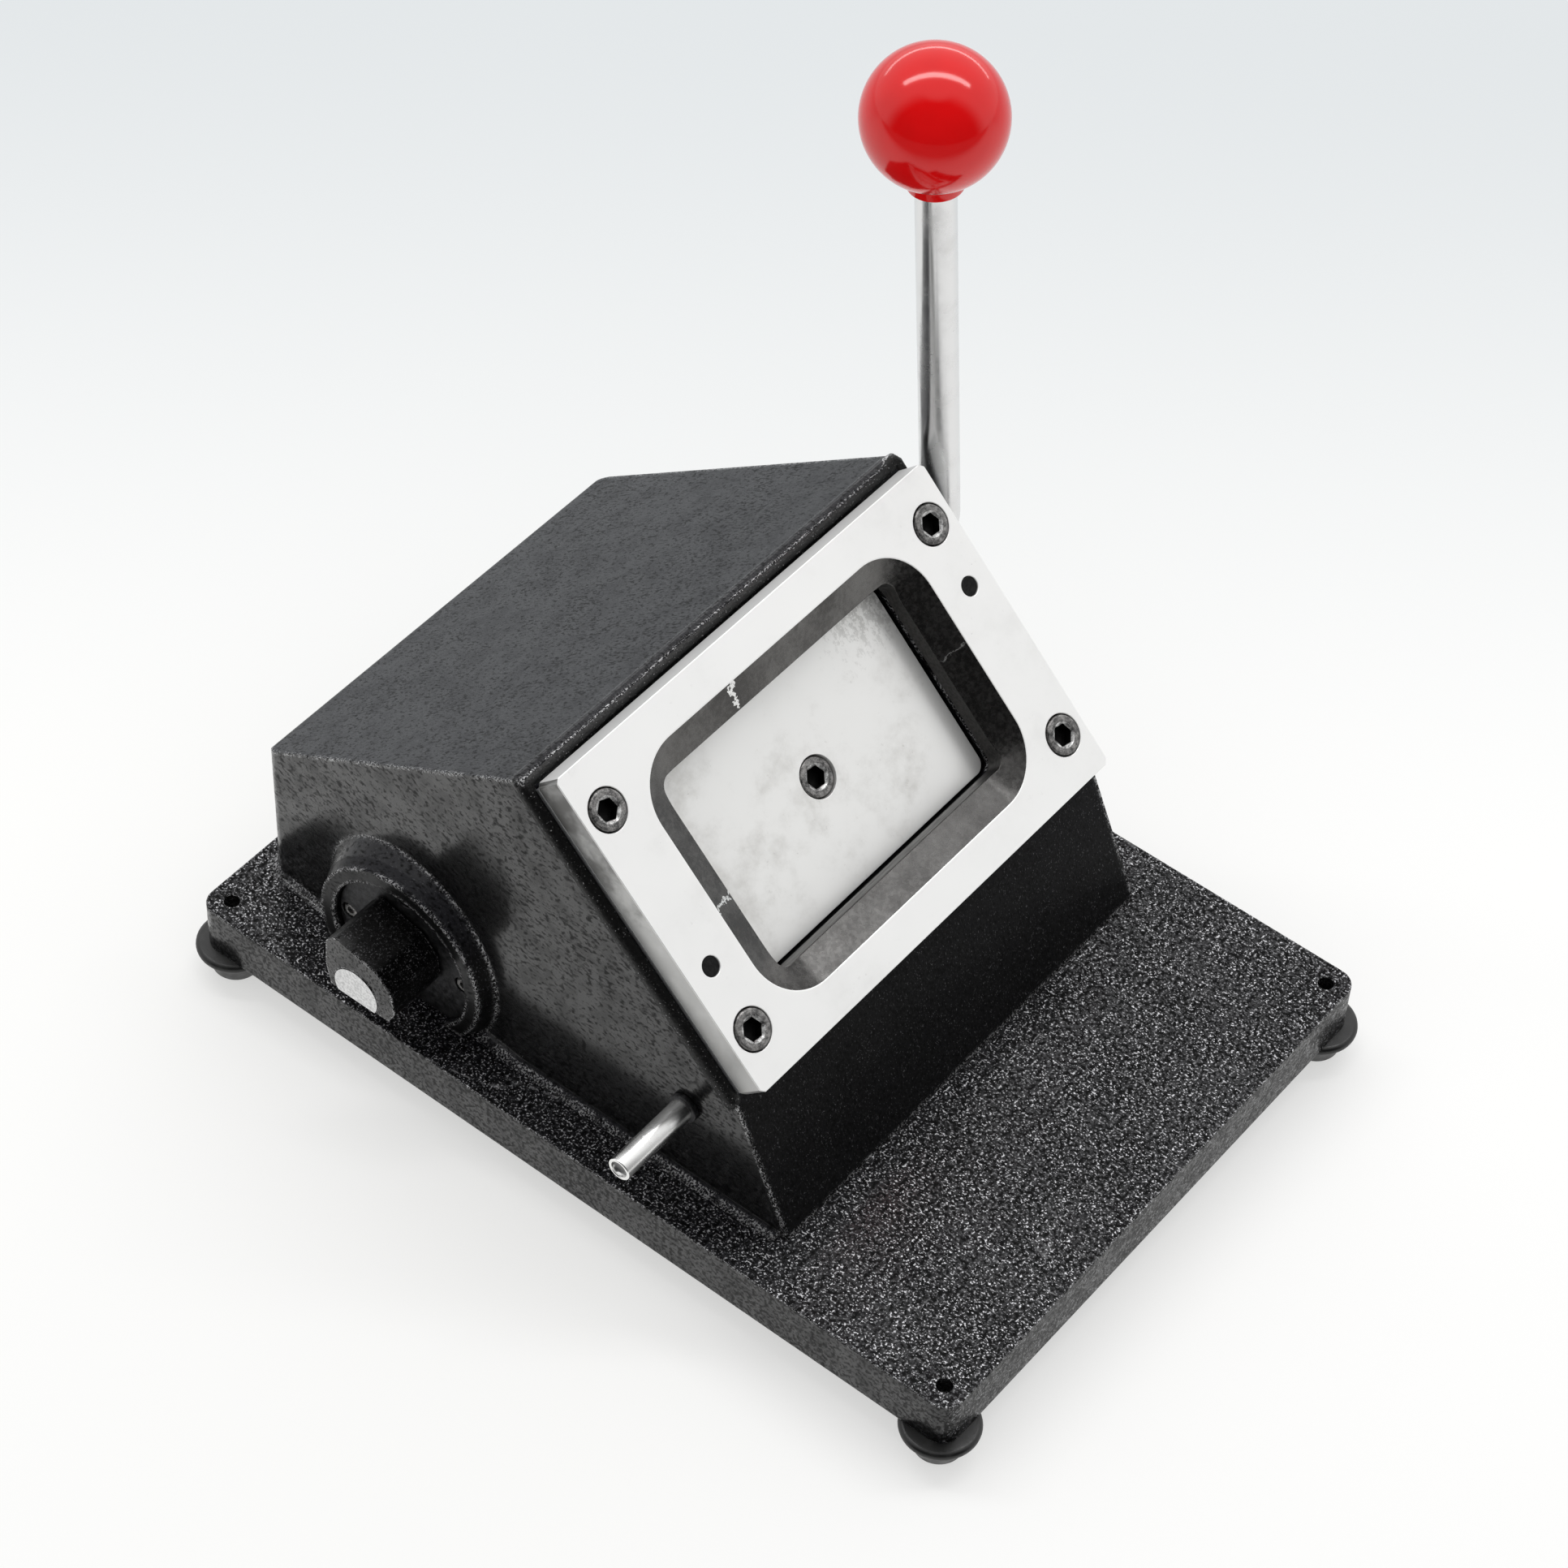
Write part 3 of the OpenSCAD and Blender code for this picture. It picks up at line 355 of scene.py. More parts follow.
@dataclass(frozen=True)
class RimPaint:
    """Thick black paint on the rim's bead, worn to bright specks along its crest."""

    name: str = "rim_paint"
    dark: Colour = (0.003, 0.003, 0.003)
    worn: Colour = (0.62, 0.62, 0.63)
    crest: Sequence[float] = (0.0, 0.60, 0.80)

    def build(self) -> bpy.types.Material:
        """Builds the finish.

        Returns:
            The material.
        """
        net = ShaderNet(self.name)
        up = net.dot(net.normal(), self.crest)
        grain = net.noise(0.7 * MM, 3.0, 0.6)
        specks = net.noise(0.5 * MM, 3.0, 0.7).between(0.47, 0.56)
        patches = net.noise(5 * MM, 2.0).between(0.30, 0.52)
        worn = up.between(0.86, 0.95) * specks * patches
        rare = net.noise(0.4 * MM, 2.0).between(0.66, 0.72) * 0.5
        mark = worn + rare * (1.0 - worn)
        return net.close(
            Base_Color=net.blend(mark, self.dark, self.worn),
            Metallic=mark * 0.6,
            Roughness=grain.between(0.3, 0.7, 0.3, 0.5),
            Specular_IOR_Level=0.3,
            Normal=net.bump(grain, 0.2 * MM, 0.9),
        )


@dataclass(frozen=True)
class GroundSteel:
    """Bright ground steel with faint smudges and fine wear."""

    name: str = "ground_steel"
    bright: Colour = (0.93, 0.93, 0.92)
    smudge: Colour = (0.66, 0.655, 0.64)
    smudge_share: float = 0.35
    metallic: float = 0.6
    scuffed: bool = False
    nick: Colour = (0.16, 0.155, 0.15)
    flake: Colour = (0.30, 0.295, 0.28)
    edge: Colour = (0.97, 0.97, 0.96)

    def build(self) -> bpy.types.Material:
        """Builds the finish.

        Returns:
            The material.
        """
        net = ShaderNet(self.name)
        lines = net.noise(0.5 * MM, 2.0, 0.6, net.shifted((0.03, 1.0, 1.0)))
        cloud = net.noise(26 * MM, 6.0, 0.68)
        spots = net.noise(2.2 * MM, 4.0, 0.75).between(0.62, 0.72)
        marks = net.noise(0.7 * MM, 2.0, 0.6, net.shifted((0.4, 1.0, 1.0), (0.3, 0.0, 0.6)))
        colour = net.blend(cloud.between(0.48, 0.85) * self.smudge_share, self.bright, self.smudge)
        colour = net.blend(spots * cloud.between(0.42, 0.58) * 0.35, colour, self.smudge)
        nicks = marks.between(0.76, 0.80) * cloud.between(0.50, 0.56)
        colour = net.blend(nicks * 0.8, colour, self.nick)
        if self.scuffed:
            corner = net.along("X").between(12 * MM, 36 * MM)
            corner = corner * net.along("Z").between(94 * MM, 112 * MM)
            flakes = net.noise(1.6 * MM, 5.0, 0.8, net.shifted((1.0, 0.6, 0.6)))
            flakes = (flakes + corner * 0.16).between(0.60, 0.66) * corner
            colour = net.blend(flakes * 0.5, colour, self.flake)
        soft = net.softened(0.4 * MM)
        colour = net.blend(net.edges(soft, 0.04, 0.3) * 0.35, colour, self.edge)
        return net.close(
            Base_Color=colour,
            Metallic=self.metallic,
            Roughness=cloud.between(0.3, 0.7, 0.34, 0.46),
            Normal=net.bump(lines, 0.01 * MM, 0.4),
        )


@dataclass(frozen=True)
class PaintedShadeEdge:
    """The die plate's left edge: ground steel, darkened toward its upper end as painted shade."""

    name: str = "plate_left_edge"
    bright: Colour = (0.50, 0.50, 0.49)
    stain_and_shade: Colour = (0.07, 0.068, 0.065)
    line: Colour = (0.75, 0.75, 0.74)
    low: float = 96 * MM
    high: float = 124 * MM

    def build(self) -> bpy.types.Material:
        """Builds the finish.

        Returns:
            The material.
        """
        net = ShaderNet(self.name)
        lines = net.noise(0.5 * MM, 3.0, 0.6, net.shifted((1.0, 0.05, 0.05)))
        cloud = net.noise(9 * MM, 4.0, 0.65)
        height = net.along("Z") + cloud.between(0.3, 0.7, -8 * MM, 8 * MM)
        # Painted shade: the edge darkens toward its upper end, along a ragged border.
        colour = net.blend(height.between(self.low, self.high) * 0.85, self.bright, self.stain_and_shade)
        colour = net.blend(lines.between(0.45, 0.7) * 0.3, colour, self.line)
        return net.close(
            Base_Color=colour,
            Metallic=0.6,
            Roughness=cloud.between(0.3, 0.7, 0.3, 0.42),
            Normal=net.bump(lines, 0.01 * MM, 0.5),
        )


@dataclass(frozen=True)
class DarkBevelSteel:
    """Dark burnished steel of the window's bevel, with fine drawn lines and bright nicks."""

    name: str = "dark_bevel_steel"
    dark: Colour = (0.068, 0.066, 0.064)
    pale: Colour = (0.140, 0.137, 0.133)
    painted_shade: Colour = (0.012, 0.012, 0.012)
    nick: Colour = (0.85, 0.85, 0.84)
    up: Sequence[float] = (0.0, 0.70711, 0.70711)
    middle: float = 58.9 * MM
    nick_x: float = -13.5 * MM
    nick_rise: Sequence[float] = (-4 * MM, 3 * MM)

    def marks(self, net: ShaderNet) -> Wire:
        """Draws three ragged bright nicks across the bevel: at its top, left and right.

        Args:
            net: The finish's node tree.

        Returns:
            The mask of the nicks.
        """
        rise, x = net.dot(net.place, self.up) - self.middle, net.along("X")
        ragged = net.noise(3 * MM, 4.0, 0.7) * (6 * MM) - 3 * MM
        width = net.noise(0.8 * MM, 3.0).between(0.35, 0.7, 0.05 * MM, 0.9 * MM)
        left_rise, right_rise = self.nick_rise
        nicks = (
            (x - self.nick_x, 1.0, rise.between(27 * MM, 28 * MM)),
            (rise - left_rise, 0.6, x.between(-42 * MM, -43 * MM)),
            (rise - right_rise, 0.4, x.between(42 * MM, 43 * MM)),
        )
        top, left, right = (
            (abs(off + ragged) - width * share).between(0.0, 0.15 * MM, 1, 0) * where
            for off, share, where in nicks
        )
        return (top + left + right).between(0.0, 1.0)

    def build(self) -> bpy.types.Material:
        """Builds the finish.

        Returns:
            The material.
        """
        net = ShaderNet(self.name)
        cloud = net.noise(14 * MM, 5.0, 0.7)
        lines = net.noise(0.5 * MM, 2.0, 0.6, net.shifted((0.12, 1.0, 1.0)))
        mottle = net.noise(1.3 * MM, 4.0, 0.7)
        patches = (cloud * 0.6 + mottle * 0.4).between(0.38, 0.66)
        colour = net.blend(patches, self.dark, self.pale)
        # Painted shade: faces that look up, the bevel's lower side, are darkened toward near
        # black.
        colour = net.blend(net.facing("Z").between(0.75, 0.95) * 0.55, colour, self.painted_shade)
        colour = net.blend(self.marks(net) * 0.9, colour, self.nick)
        soft = net.softened(0.35 * MM)
        worn = net.edges(soft, 0.02, 0.12) * net.noise(4 * MM, 3.0).between(0.40, 0.62)
        colour = net.blend(worn * 0.5, colour, self.nick)
        return net.close(
            Base_Color=colour,
            Metallic=0.95,
            Roughness=mottle.between(0.3, 0.7, 0.2, 0.34),
            Normal=net.bump(lines, 0.003 * MM, 0.4),
        )


@dataclass(frozen=True)
class BlackOxide:
    """Black oxide on screws and dark turned parts, worn to grey on its faces and edges."""

    name: str = "black_oxide"
    dark: Colour = (0.045, 0.045, 0.045)
    worn: Colour = (0.42, 0.41, 0.40)
    face_wear: float = 0.85
    edge_wear: float = 0.9
    roughness: float = 0.32
    bare: Colour = (0.8, 0.79, 0.78)

    def build(self) -> bpy.types.Material:
        """Builds the finish.

        Returns:
            The material.
        """
        net = ShaderNet(self.name)
        cloud = net.noise(1.4 * MM, 4.0, 0.65)
        fine = net.noise(0.3 * MM, 3.0, 0.7)
        soft = net.softened(0.4 * MM)
        face = (cloud * 0.6 + fine * 0.4).between(0.36, 0.66) * self.face_wear
        colour = net.blend(face, self.dark, self.worn)
        edge = net.edges(soft, 0.02, 0.2) * fine.between(0.38, 0.56) * self.edge_wear
        colour = net.blend(edge, colour, self.bare)
        return net.close(
            Base_Color=colour,
            Metallic=0.85,
            Roughness=cloud.between(0.3, 0.7, self.roughness, self.roughness + 0.16),
            Normal=net.bump(cloud * 0.5 + fine * 0.5, 0.03 * MM, 0.5, soft),
        )


@dataclass(frozen=True)
class PolishedSteel:
    """Polished round bar, with a fine grain and faint stains."""

    name: str = "polished_steel"
    bright: Colour = (0.80, 0.80, 0.80)
    stain_and_shade: Colour = (0.50, 0.49, 0.47)
    roughness: float = 0.14

    def build(self) -> bpy.types.Material:
        """Builds the finish.

        Returns:
            The material.
        """
        net = ShaderNet(self.name)
        cloud = net.noise(9 * MM, 4.0, 0.6)
        grain = net.noise(0.35 * MM, 2.0, 0.6)
        colour = net.blend(cloud.between(0.5, 0.85) * 0.3, self.bright, self.stain_and_shade)
        return net.close(
            Base_Color=colour,
            Metallic=1.0,
            Roughness=cloud.between(0.3, 0.75, self.roughness, self.roughness + 0.12),
            Normal=net.bump(grain, 0.002 * MM, 0.15),
        )


@dataclass(frozen=True)
class MilledMetal:
    """Plainly milled steel or bronze of the inner pieces."""

    name: str = "milled_steel"
    bright: Colour = (0.45, 0.46, 0.47)
    shade: Colour = (0.25, 0.255, 0.26)
    roughness: float = 0.36

    def build(self) -> bpy.types.Material:
        """Builds the finish.

        Returns:
            The material.
        """
        net = ShaderNet(self.name)
        lines = net.noise(0.8 * MM, 3.0, 0.6, net.shifted((0.08, 1.0, 1.0)))
        cloud = net.noise(12 * MM, 3.0)
        colour = net.blend(lines.between(0.35, 0.7) * 0.6, self.bright, self.shade)
        colour = net.blend(cloud.between(0.5, 0.8) * 0.4, colour, self.shade)
        return net.close(
            Base_Color=colour,
            Metallic=0.9,
            Roughness=lines.between(0.3, 0.7, self.roughness, self.roughness + 0.15),
            Normal=net.bump(lines, 0.02 * MM, 0.6),
        )


@dataclass(frozen=True)
class GlossPlastic:
    """Glossy moulded plastic of the ball knob."""

    name: str = "gloss_plastic"
    bright: Colour = (0.72, 0.002, 0.003)
    deep: Colour = (0.56, 0.0012, 0.002)

    def build(self) -> bpy.types.Material:
        """Builds the finish.

        Returns:
            The material.
        """
        net = ShaderNet(self.name)
        cloud = net.noise(14 * MM, 2.0)
        dimple = net.noise(5 * MM, 2.0)
        scuff = net.noise(0.6 * MM, 3.0, 0.7, net.shifted((1.0, 0.15, 1.0), (0.6, 0.2, 0.0)))
        return net.close(
            Base_Color=net.blend(cloud.between(0.3, 0.8) * 0.5, self.bright, self.deep),
            Roughness=scuff.between(0.62, 0.8, 0.12, 0.2),
            Normal=net.bump(dimple, 0.02 * MM, 0.3),
        )


@dataclass(frozen=True)
class MouldedRubber:
    """Matt black rubber of the feet, with a little dust."""

    name: str = "moulded_rubber"
    dark: Colour = (0.006, 0.006, 0.006)
    dust: Colour = (0.05, 0.048, 0.045)

    def build(self) -> bpy.types.Material:
        """Builds the finish.

        Returns:
            The material.
        """
        net = ShaderNet(self.name)
        cloud = net.noise(4 * MM, 4.0, 0.6)
        fine = net.noise(0.3 * MM, 2.0)
        return net.close(
            Base_Color=net.blend(cloud.between(0.5, 0.8) * 0.35, self.dark, self.dust),
            Roughness=cloud.between(0.3, 0.7, 0.3, 0.48),
            Normal=net.bump(fine, 0.03 * MM, 0.5),
        )


class Finishes:
    """Makes each finish once and hands it out by name."""

    def __init__(self) -> None:
        """Lists the finishes of the machine."""
        self.recipes: dict[str, Any] = {
            "casting": PebblePaint(boss_from=70 * MM),
            "block": PebblePaint(
                "block_paint", 0.8 * MM, (1.0, 1.0, 1.0), top=(0.003, 0.003, 0.003),
                glint_from=0.57, top_pits=0.95, top_glint=0.35, top_gloss=0.35,
                softness=1.0 * MM,
            ),
            "rim": RimPaint(),
            "base": PebblePaint(
                "base_paint", 1.0 * MM, (1.0, 0.8, 1.0), top=(0.010, 0.010, 0.012),
                glint=(0.62, 0.62, 0.64), glint_from=0.555, top_glint=0.8, top_pits=0.95,
                wall_pits=0.75, pit_level=0.47, wall=(0.006, 0.006, 0.0065), top_gloss=0.9,
                front_gloss=0.6, scratches=0.35, foot=0.0, softness=0.8 * MM,
            ),
            "plate": GroundSteel(),
            "punch": GroundSteel(
                "punch_steel", (0.87, 0.87, 0.855), (0.46, 0.445, 0.415), 0.85, 0.45, True
            ),
            "bevel": DarkBevelSteel(),
            "screw": BlackOxide(),
            "dark_turned": BlackOxide(
                "dark_turned", (0.012, 0.012, 0.013), (0.16, 0.16, 0.165), 0.45, 0.6, 0.4
            ),
            "plate_side": GroundSteel(
                "plate_side_steel", (0.58, 0.58, 0.575), (0.42, 0.42, 0.41), 0.6, 0.15
            ),
            "plate_left": PaintedShadeEdge(),
            # Painted shade: the near-black inside of the screw sockets.
            "hollow": BlackOxide(
                "hollow", (0.004, 0.004, 0.004), (0.02, 0.02, 0.02), 0.4, 0.0, 0.5
            ),
            "lip": BlackOxide("worn_lip", (0.10, 0.10, 0.10), (0.85, 0.85, 0.84), 1.0, 0.5, 0.3),
            "dowel": BlackOxide(
                "dowel_steel", (0.006, 0.006, 0.006), (0.06, 0.06, 0.06), 0.3, 0.5, 0.4
            ),
            "shaft_end": MilledMetal("shaft_end", (0.80, 0.80, 0.80), (0.38, 0.38, 0.38), 0.3),
            "land": MilledMetal("window_land", (0.07, 0.068, 0.066), (0.03, 0.03, 0.03), 0.34),
            "polished": PolishedSteel(),
            "rod": PolishedSteel("rod_steel", (0.76, 0.76, 0.76), (0.52, 0.51, 0.49), 0.19),
            "peg": PolishedSteel("peg_steel", (0.90, 0.90, 0.89), (0.62, 0.61, 0.60), 0.18),
            "peg_end": MilledMetal("peg_end", (0.34, 0.34, 0.34), (0.22, 0.22, 0.22), 0.4),
            "milled": MilledMetal(),
            "bronze": MilledMetal("bronze", (0.60, 0.42, 0.20), (0.36, 0.24, 0.11), 0.32),
            "red": GlossPlastic(),
            "rubber": MouldedRubber(),
        }
        self.made: dict[str, bpy.types.Material] = {}

    def __getitem__(self, name: str) -> bpy.types.Material:
        """The material of that name, made on its first use."""
        if name not in self.made:
            self.made[name] = self.recipes[name].build()
        return self.made[name]


def shade(mesh: bpy.types.Mesh, angle: float) -> None:
    """Shades a mesh smoothly.

    Args:
        mesh: The mesh, changed in place.
        angle: Edges that bend more than this stay sharp.
    """
    work = bmesh.new()
    work.from_mesh(mesh)
    for face in work.faces:
        face.smooth = True
    for edge in work.edges:
        bent = len(edge.link_faces) == 2 and edge.calc_face_angle(0.0) > angle
        edge.smooth = not bent
    work.to_mesh(mesh)
    work.free()


def piece(name: str, mesh: bpy.types.Mesh, *materials: bpy.types.Material) -> bpy.types.Object:
    """Puts a mesh in the scene as an object at the origin.

    Args:
        name: The piece's name.
        mesh: Its mesh, in place in the model's frame.
        materials: Its material slots in order.

    Returns:
        The new object.
    """
    mesh.materials.clear()
    for material in materials:
        mesh.materials.append(material)
    made = bpy.data.objects.new(name, mesh)
    bpy.context.scene.collection.objects.link(made)
    return made


def settled(source: bpy.types.Object) -> bpy.types.Mesh:
    """Works an object's modifiers into its mesh and removes the object.

    Args:
        source: The object.

    Returns:
        The finished mesh.
    """
    graph = bpy.context.evaluated_depsgraph_get()
    graph.update()
    mesh = bpy.data.meshes.new_from_object(
        source.evaluated_get(graph), preserve_all_data_layers=True, depsgraph=graph
    )
    bpy.data.objects.remove(source)
    return mesh


@dataclass
class Rounding:
    """How a machined or cast node gets its rounded edges."""

    width: float = 0.3 * MM
    segments: int = 2
    sharper_than: float = 25.0
    above: float = -1.0
    weld: float = 2e-6
    flat_within: float = 0.6
    crease: float = 48.0
    face_weight: int = 80

    def of(self, source: bpy.types.Object) -> bpy.types.Mesh:
        """Makes a closed copy of a node's mesh with rounded edges.

        Args:
            source: The node's object, which stays as it is.

        Returns:
            The rounded mesh.
        """
        mesh = source.data.copy()
        work = bmesh.new()
        work.from_mesh(mesh)
        bmesh.ops.remove_doubles(work, verts=work.verts[:], dist=self.weld)
        flat = math.radians(self.flat_within)
        bmesh.ops.dissolve_limit(
            work, angle_limit=flat, verts=work.verts[:], edges=work.edges[:]
        )
        bmesh.ops.recalc_face_normals(work, faces=work.faces[:])
        weight = work.edges.layers.float.new("bevel_weight_edge")
        for edge in work.edges:
            sharp = edge.calc_face_angle(0.0) > math.radians(self.sharper_than)
            edge[weight] = float(sharp and min(vert.co.z for vert in edge.verts) > self.above)
        work.to_mesh(mesh)
        work.free()
        rough = piece("rounding", mesh)
        bevel = rough.modifiers.new("bevel", "BEVEL")
        bevel.width = self.width
        bevel.segments = self.segments
        bevel.limit_method = "WEIGHT"
        bevel.miter_outer = "MITER_ARC"
        made = settled(rough)
        shade(made, math.radians(self.crease))
        weighed = piece("weighing", made)
        normal = weighed.modifiers.new("weigh", "WEIGHTED_NORMAL")
        normal.keep_sharp = True
        normal.weight = self.face_weight
        return settled(weighed)


@dataclass
class Ring:
    """One ring of a turned piece: its radius, its height, and whether it is a hexagon."""

    radius: float
    height: float
    hexagonal: bool = False

    def at(self, angle: float) -> Vector:
        """Finds one point of the ring.

        Args:
            angle: The point's angle in radians.

        Returns:
            The point; a hexagon's radius is half the distance across its flats.
        """
        reach = self.radius
        if self.hexagonal:
            off = (angle % (math.pi / 3)) - math.pi / 6
            reach = self.radius / math.cos(off)
        return Vector((reach * math.cos(angle), reach * math.sin(angle), self.height))


def turned(outline: Outline, steps: int = 48) -> bpy.types.Mesh:
    """Builds a turned piece about the Z axis.

    Args:
        outline: The values of its rings, from the top of the axis round to the bottom; a
            radius of 0 closes an end.
        steps: Sides round the axis.

    Returns:
        The closed mesh.
    """
    work = bmesh.new()
    rows: list[list[bmesh.types.BMVert]] = []
    for ring in (Ring(*values) for values in outline):
        if ring.radius == 0:
            rows.append([work.verts.new((0, 0, ring.height))] * steps)
            continue
        rows.append([work.verts.new(ring.at(math.tau * i / steps)) for i in range(steps)])
    for upper, lower in zip(rows, rows[1:]):
        for i in range(steps):
            j = (i + 1) % steps
            corners = []
            for vert in (upper[i], upper[j], lower[j], lower[i]):
                if vert not in corners:
                    corners.append(vert)
            if len(corners) > 2:
                work.faces.new(corners)
    bmesh.ops.recalc_face_normals(work, faces=work.faces[:])
    mesh = bpy.data.meshes.new("turned")
    work.to_mesh(mesh)
    work.free()
    shade(mesh, TURNED_CREASE)
    return mesh


def swept(
    line: Sequence[tuple[Vector, Vector, float]], normal: Vector, sides: int = 48
) -> bpy.types.Mesh:
    """Builds a round bar along a flat path.

    Args:
        line: Points of the path, each with its direction and the bar's radius there.
        normal: The direction square to the path's plane.
        sides: Sides round the bar.

    Returns:
        The closed mesh.
    """
    work = bmesh.new()
    rows = []
    for spot, way, radius in line:
        side = way.cross(normal)
        turns = [math.tau * i / sides for i in range(sides)]
        rims = [(normal * math.cos(turn) + side * math.sin(turn)) * radius for turn in turns]
        rows.append([work.verts.new(spot + rim) for rim in rims])
    for low, high in zip(rows, rows[1:]):
        for i in range(sides):
            j = (i + 1) % sides
            work.faces.new((low[i], low[j], high[j], high[i]))
    work.faces.new(rows[0])
    work.faces.new(rows[-1])
    bmesh.ops.recalc_face_normals(work, faces=work.faces[:])
    mesh = bpy.data.meshes.new("swept")
    work.to_mesh(mesh)
    work.free()
    shade(mesh, SWEPT_CREASE)
    return mesh


def rounded_corner(
    x: float, z: float, radius: float, start: float, end: float, steps: int = 4
) -> list[tuple[float, float]]:
    """Sets out an arc in a turned outline.

    Args:
        x: Radius at which the arc's middle lies.
        z: Height at which it lies.
        radius: The arc's own radius.
        start: Angle of its first point, in degrees.
        end: Angle of its last point.
        steps: Parts that it is cut into.

    Returns:
        The arc's points.
    """
    turns = [math.radians(start + (end - start) * i / steps) for i in range(steps + 1)]
    return [(x + radius * math.cos(turn), z + radius * math.sin(turn)) for turn in turns]


@dataclass
class Pattern:
    """Copies of one small piece, set out by Geometry Nodes at points along an axis."""

    spots: Sequence[Vector]
    axis: Vector
    seed: int = 3
    turn: float = math.pi / 3

    def tree(self) -> bpy.types.NodeTree:
        """Builds the node tree: points, copies, a fixed random turn, one mesh.

        Returns:
            The tree, with sockets for the points, the copy, the axis, the turn and the finish.
        """
        tree = bpy.data.node_groups.new("set_out", "GeometryNodeTree")
        face = tree.interface
        for name, kind in (
            ("Points", "NodeSocketGeometry"),
            ("Copy", "NodeSocketObject"),
            ("Axis", "NodeSocketVector"),
            ("Turn", "NodeSocketFloat"),
            ("Finish", "NodeSocketMaterial"),
        ):
            face.new_socket(name, in_out="INPUT", socket_type=kind)
        face.new_socket("Mesh", in_out="OUTPUT", socket_type="NodeSocketGeometry")
        given, result, info, place, face_axis, chance, spin, turn, real, finish = (
            tree.nodes.new(kind)
            for kind in (
                "NodeGroupInput", "NodeGroupOutput", "GeometryNodeObjectInfo",
                "GeometryNodeInstanceOnPoints", "FunctionNodeAlignRotationToVector",
                "FunctionNodeRandomValue", "ShaderNodeCombineXYZ",
                "FunctionNodeRotateRotation", "GeometryNodeRealizeInstances",
                "GeometryNodeSetMaterial",
            )
        )
        face_axis.axis = "Z"
        chance.data_type = "FLOAT"
        chance.inputs["Seed"].default_value = self.seed
        turn.rotation_space = "LOCAL"
        for source, output, target, entry in (
            (given, "Copy", info, "Object"),
            (given, "Points", place, "Points"),
            (info, "Geometry", place, "Instance"),
            (given, "Axis", face_axis, "Vector"),
            (given, "Turn", chance, "Max"),
            (chance, "Value", spin, "Z"),
            (face_axis, 0, turn, 0),
            (spin, 0, turn, 1),
            (turn, 0, place, "Rotation"),
            (place, 0, real, 0),
            (real, 0, finish, "Geometry"),
            (given, "Finish", finish, "Material"),
            (finish, 0, result, 0),
        ):
            tree.links.new(source.outputs[output], target.inputs[entry])
        return tree

    def build(
        self, name: str, copy: bpy.types.Mesh, material: bpy.types.Material
    ) -> bpy.types.Object:
        """Sets out the copies.

        Args:
            name: The name of the piece that holds them all.
            copy: The mesh that is repeated, with +Z out of its seat.
            material: Its finish.

        Returns:
            One object with every copy in its mesh.
        """
        points = bpy.data.meshes.new("points")
        points.from_pydata([tuple(spot) for spot in self.spots], [], [])
        holder = piece("holder", points)
        stamp = piece("stamp", copy)
        tree = self.tree()
        modifier = holder.modifiers.new("set_out", "NODES")
        modifier.node_group = tree
        values = {"Copy": stamp, "Axis": tuple(self.axis), "Turn": self.turn, "Finish": material}
        for item in tree.interface.items_tree:
            if item.name in values and item.in_out == "INPUT":
                modifier[item.identifier] = values[item.name]
        mesh = settled(holder)
        bpy.data.objects.remove(stamp)
        made = piece(name, mesh, material)
        shade(made.data, TURNED_CREASE)
        return made


@dataclass(frozen=True)
class CapScrew:
    """The head of a socket screw, its worn lip and its dark socket."""

    width: float = 10 * MM
    height: float = 6 * MM
    socket: float = 5 * MM
    depth: float = 3.2 * MM
    hollow_from: float = 0.6 * MM
    hollow_reach: float = 0.56
    lip_to: float = 0.45 * MM
    lip_reach: float = 0.66
    lip_slope: float = 0.98

    def mesh(self) -> bpy.types.Mesh:
        """Turns one head, its top at zero.

        Returns:
            The head's mesh.
        """
        half, flats, edge = self.width / 2, self.socket / 2, 0.045 * self.width
        return turned([
            (0, -self.depth - 0.12 * self.socket),
            (self.socket * 0.30, -self.depth),
            (flats, -self.depth, True),
            (flats, -0.05 * self.width, True),
            (flats + 0.03 * self.width, -0.02 * self.width, True),
            (flats + 0.085 * self.width, 0),
            *rounded_corner(half - edge, -edge, edge, 90, 0, 3),
            (half, -self.height),
            (0, -self.height),
        ])

    def dress(
        self, made: bpy.types.Object, spots: Sequence[Vector], axis: Vector, finishes: Finishes
    ) -> None:
        """Gives the sockets of set-out heads a near-black inside as painted shade, and a worn
        bright lip.

        Args:
            made: The object that holds the screws.
            spots: The middles of their tops.
            axis: The direction out of their seats.
            finishes: The machine's finishes.
        """
        for name in ("hollow", "lip"):
            made.data.materials.append(finishes[name])
        for face in made.data.polygons:
            for spot in spots:
                off = Vector(face.center) - spot
                depth = -off.dot(axis)
                reach = (off + axis * depth).length / self.socket
                sloping = face.normal.dot(axis) < self.lip_slope
                # The socket's inside takes the near-black hollow finish, as painted shade.
                if depth > self.hollow_from and reach < self.hollow_reach:
                    face.material_index = 1
                elif depth < self.lip_to and reach < self.lip_reach and sloping:
                    face.material_index = 2


def middle_of(node: str) -> Vector:
    """The middle of a node's box."""
    return sum((Vector(corner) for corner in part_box(node)), Vector()) / 2


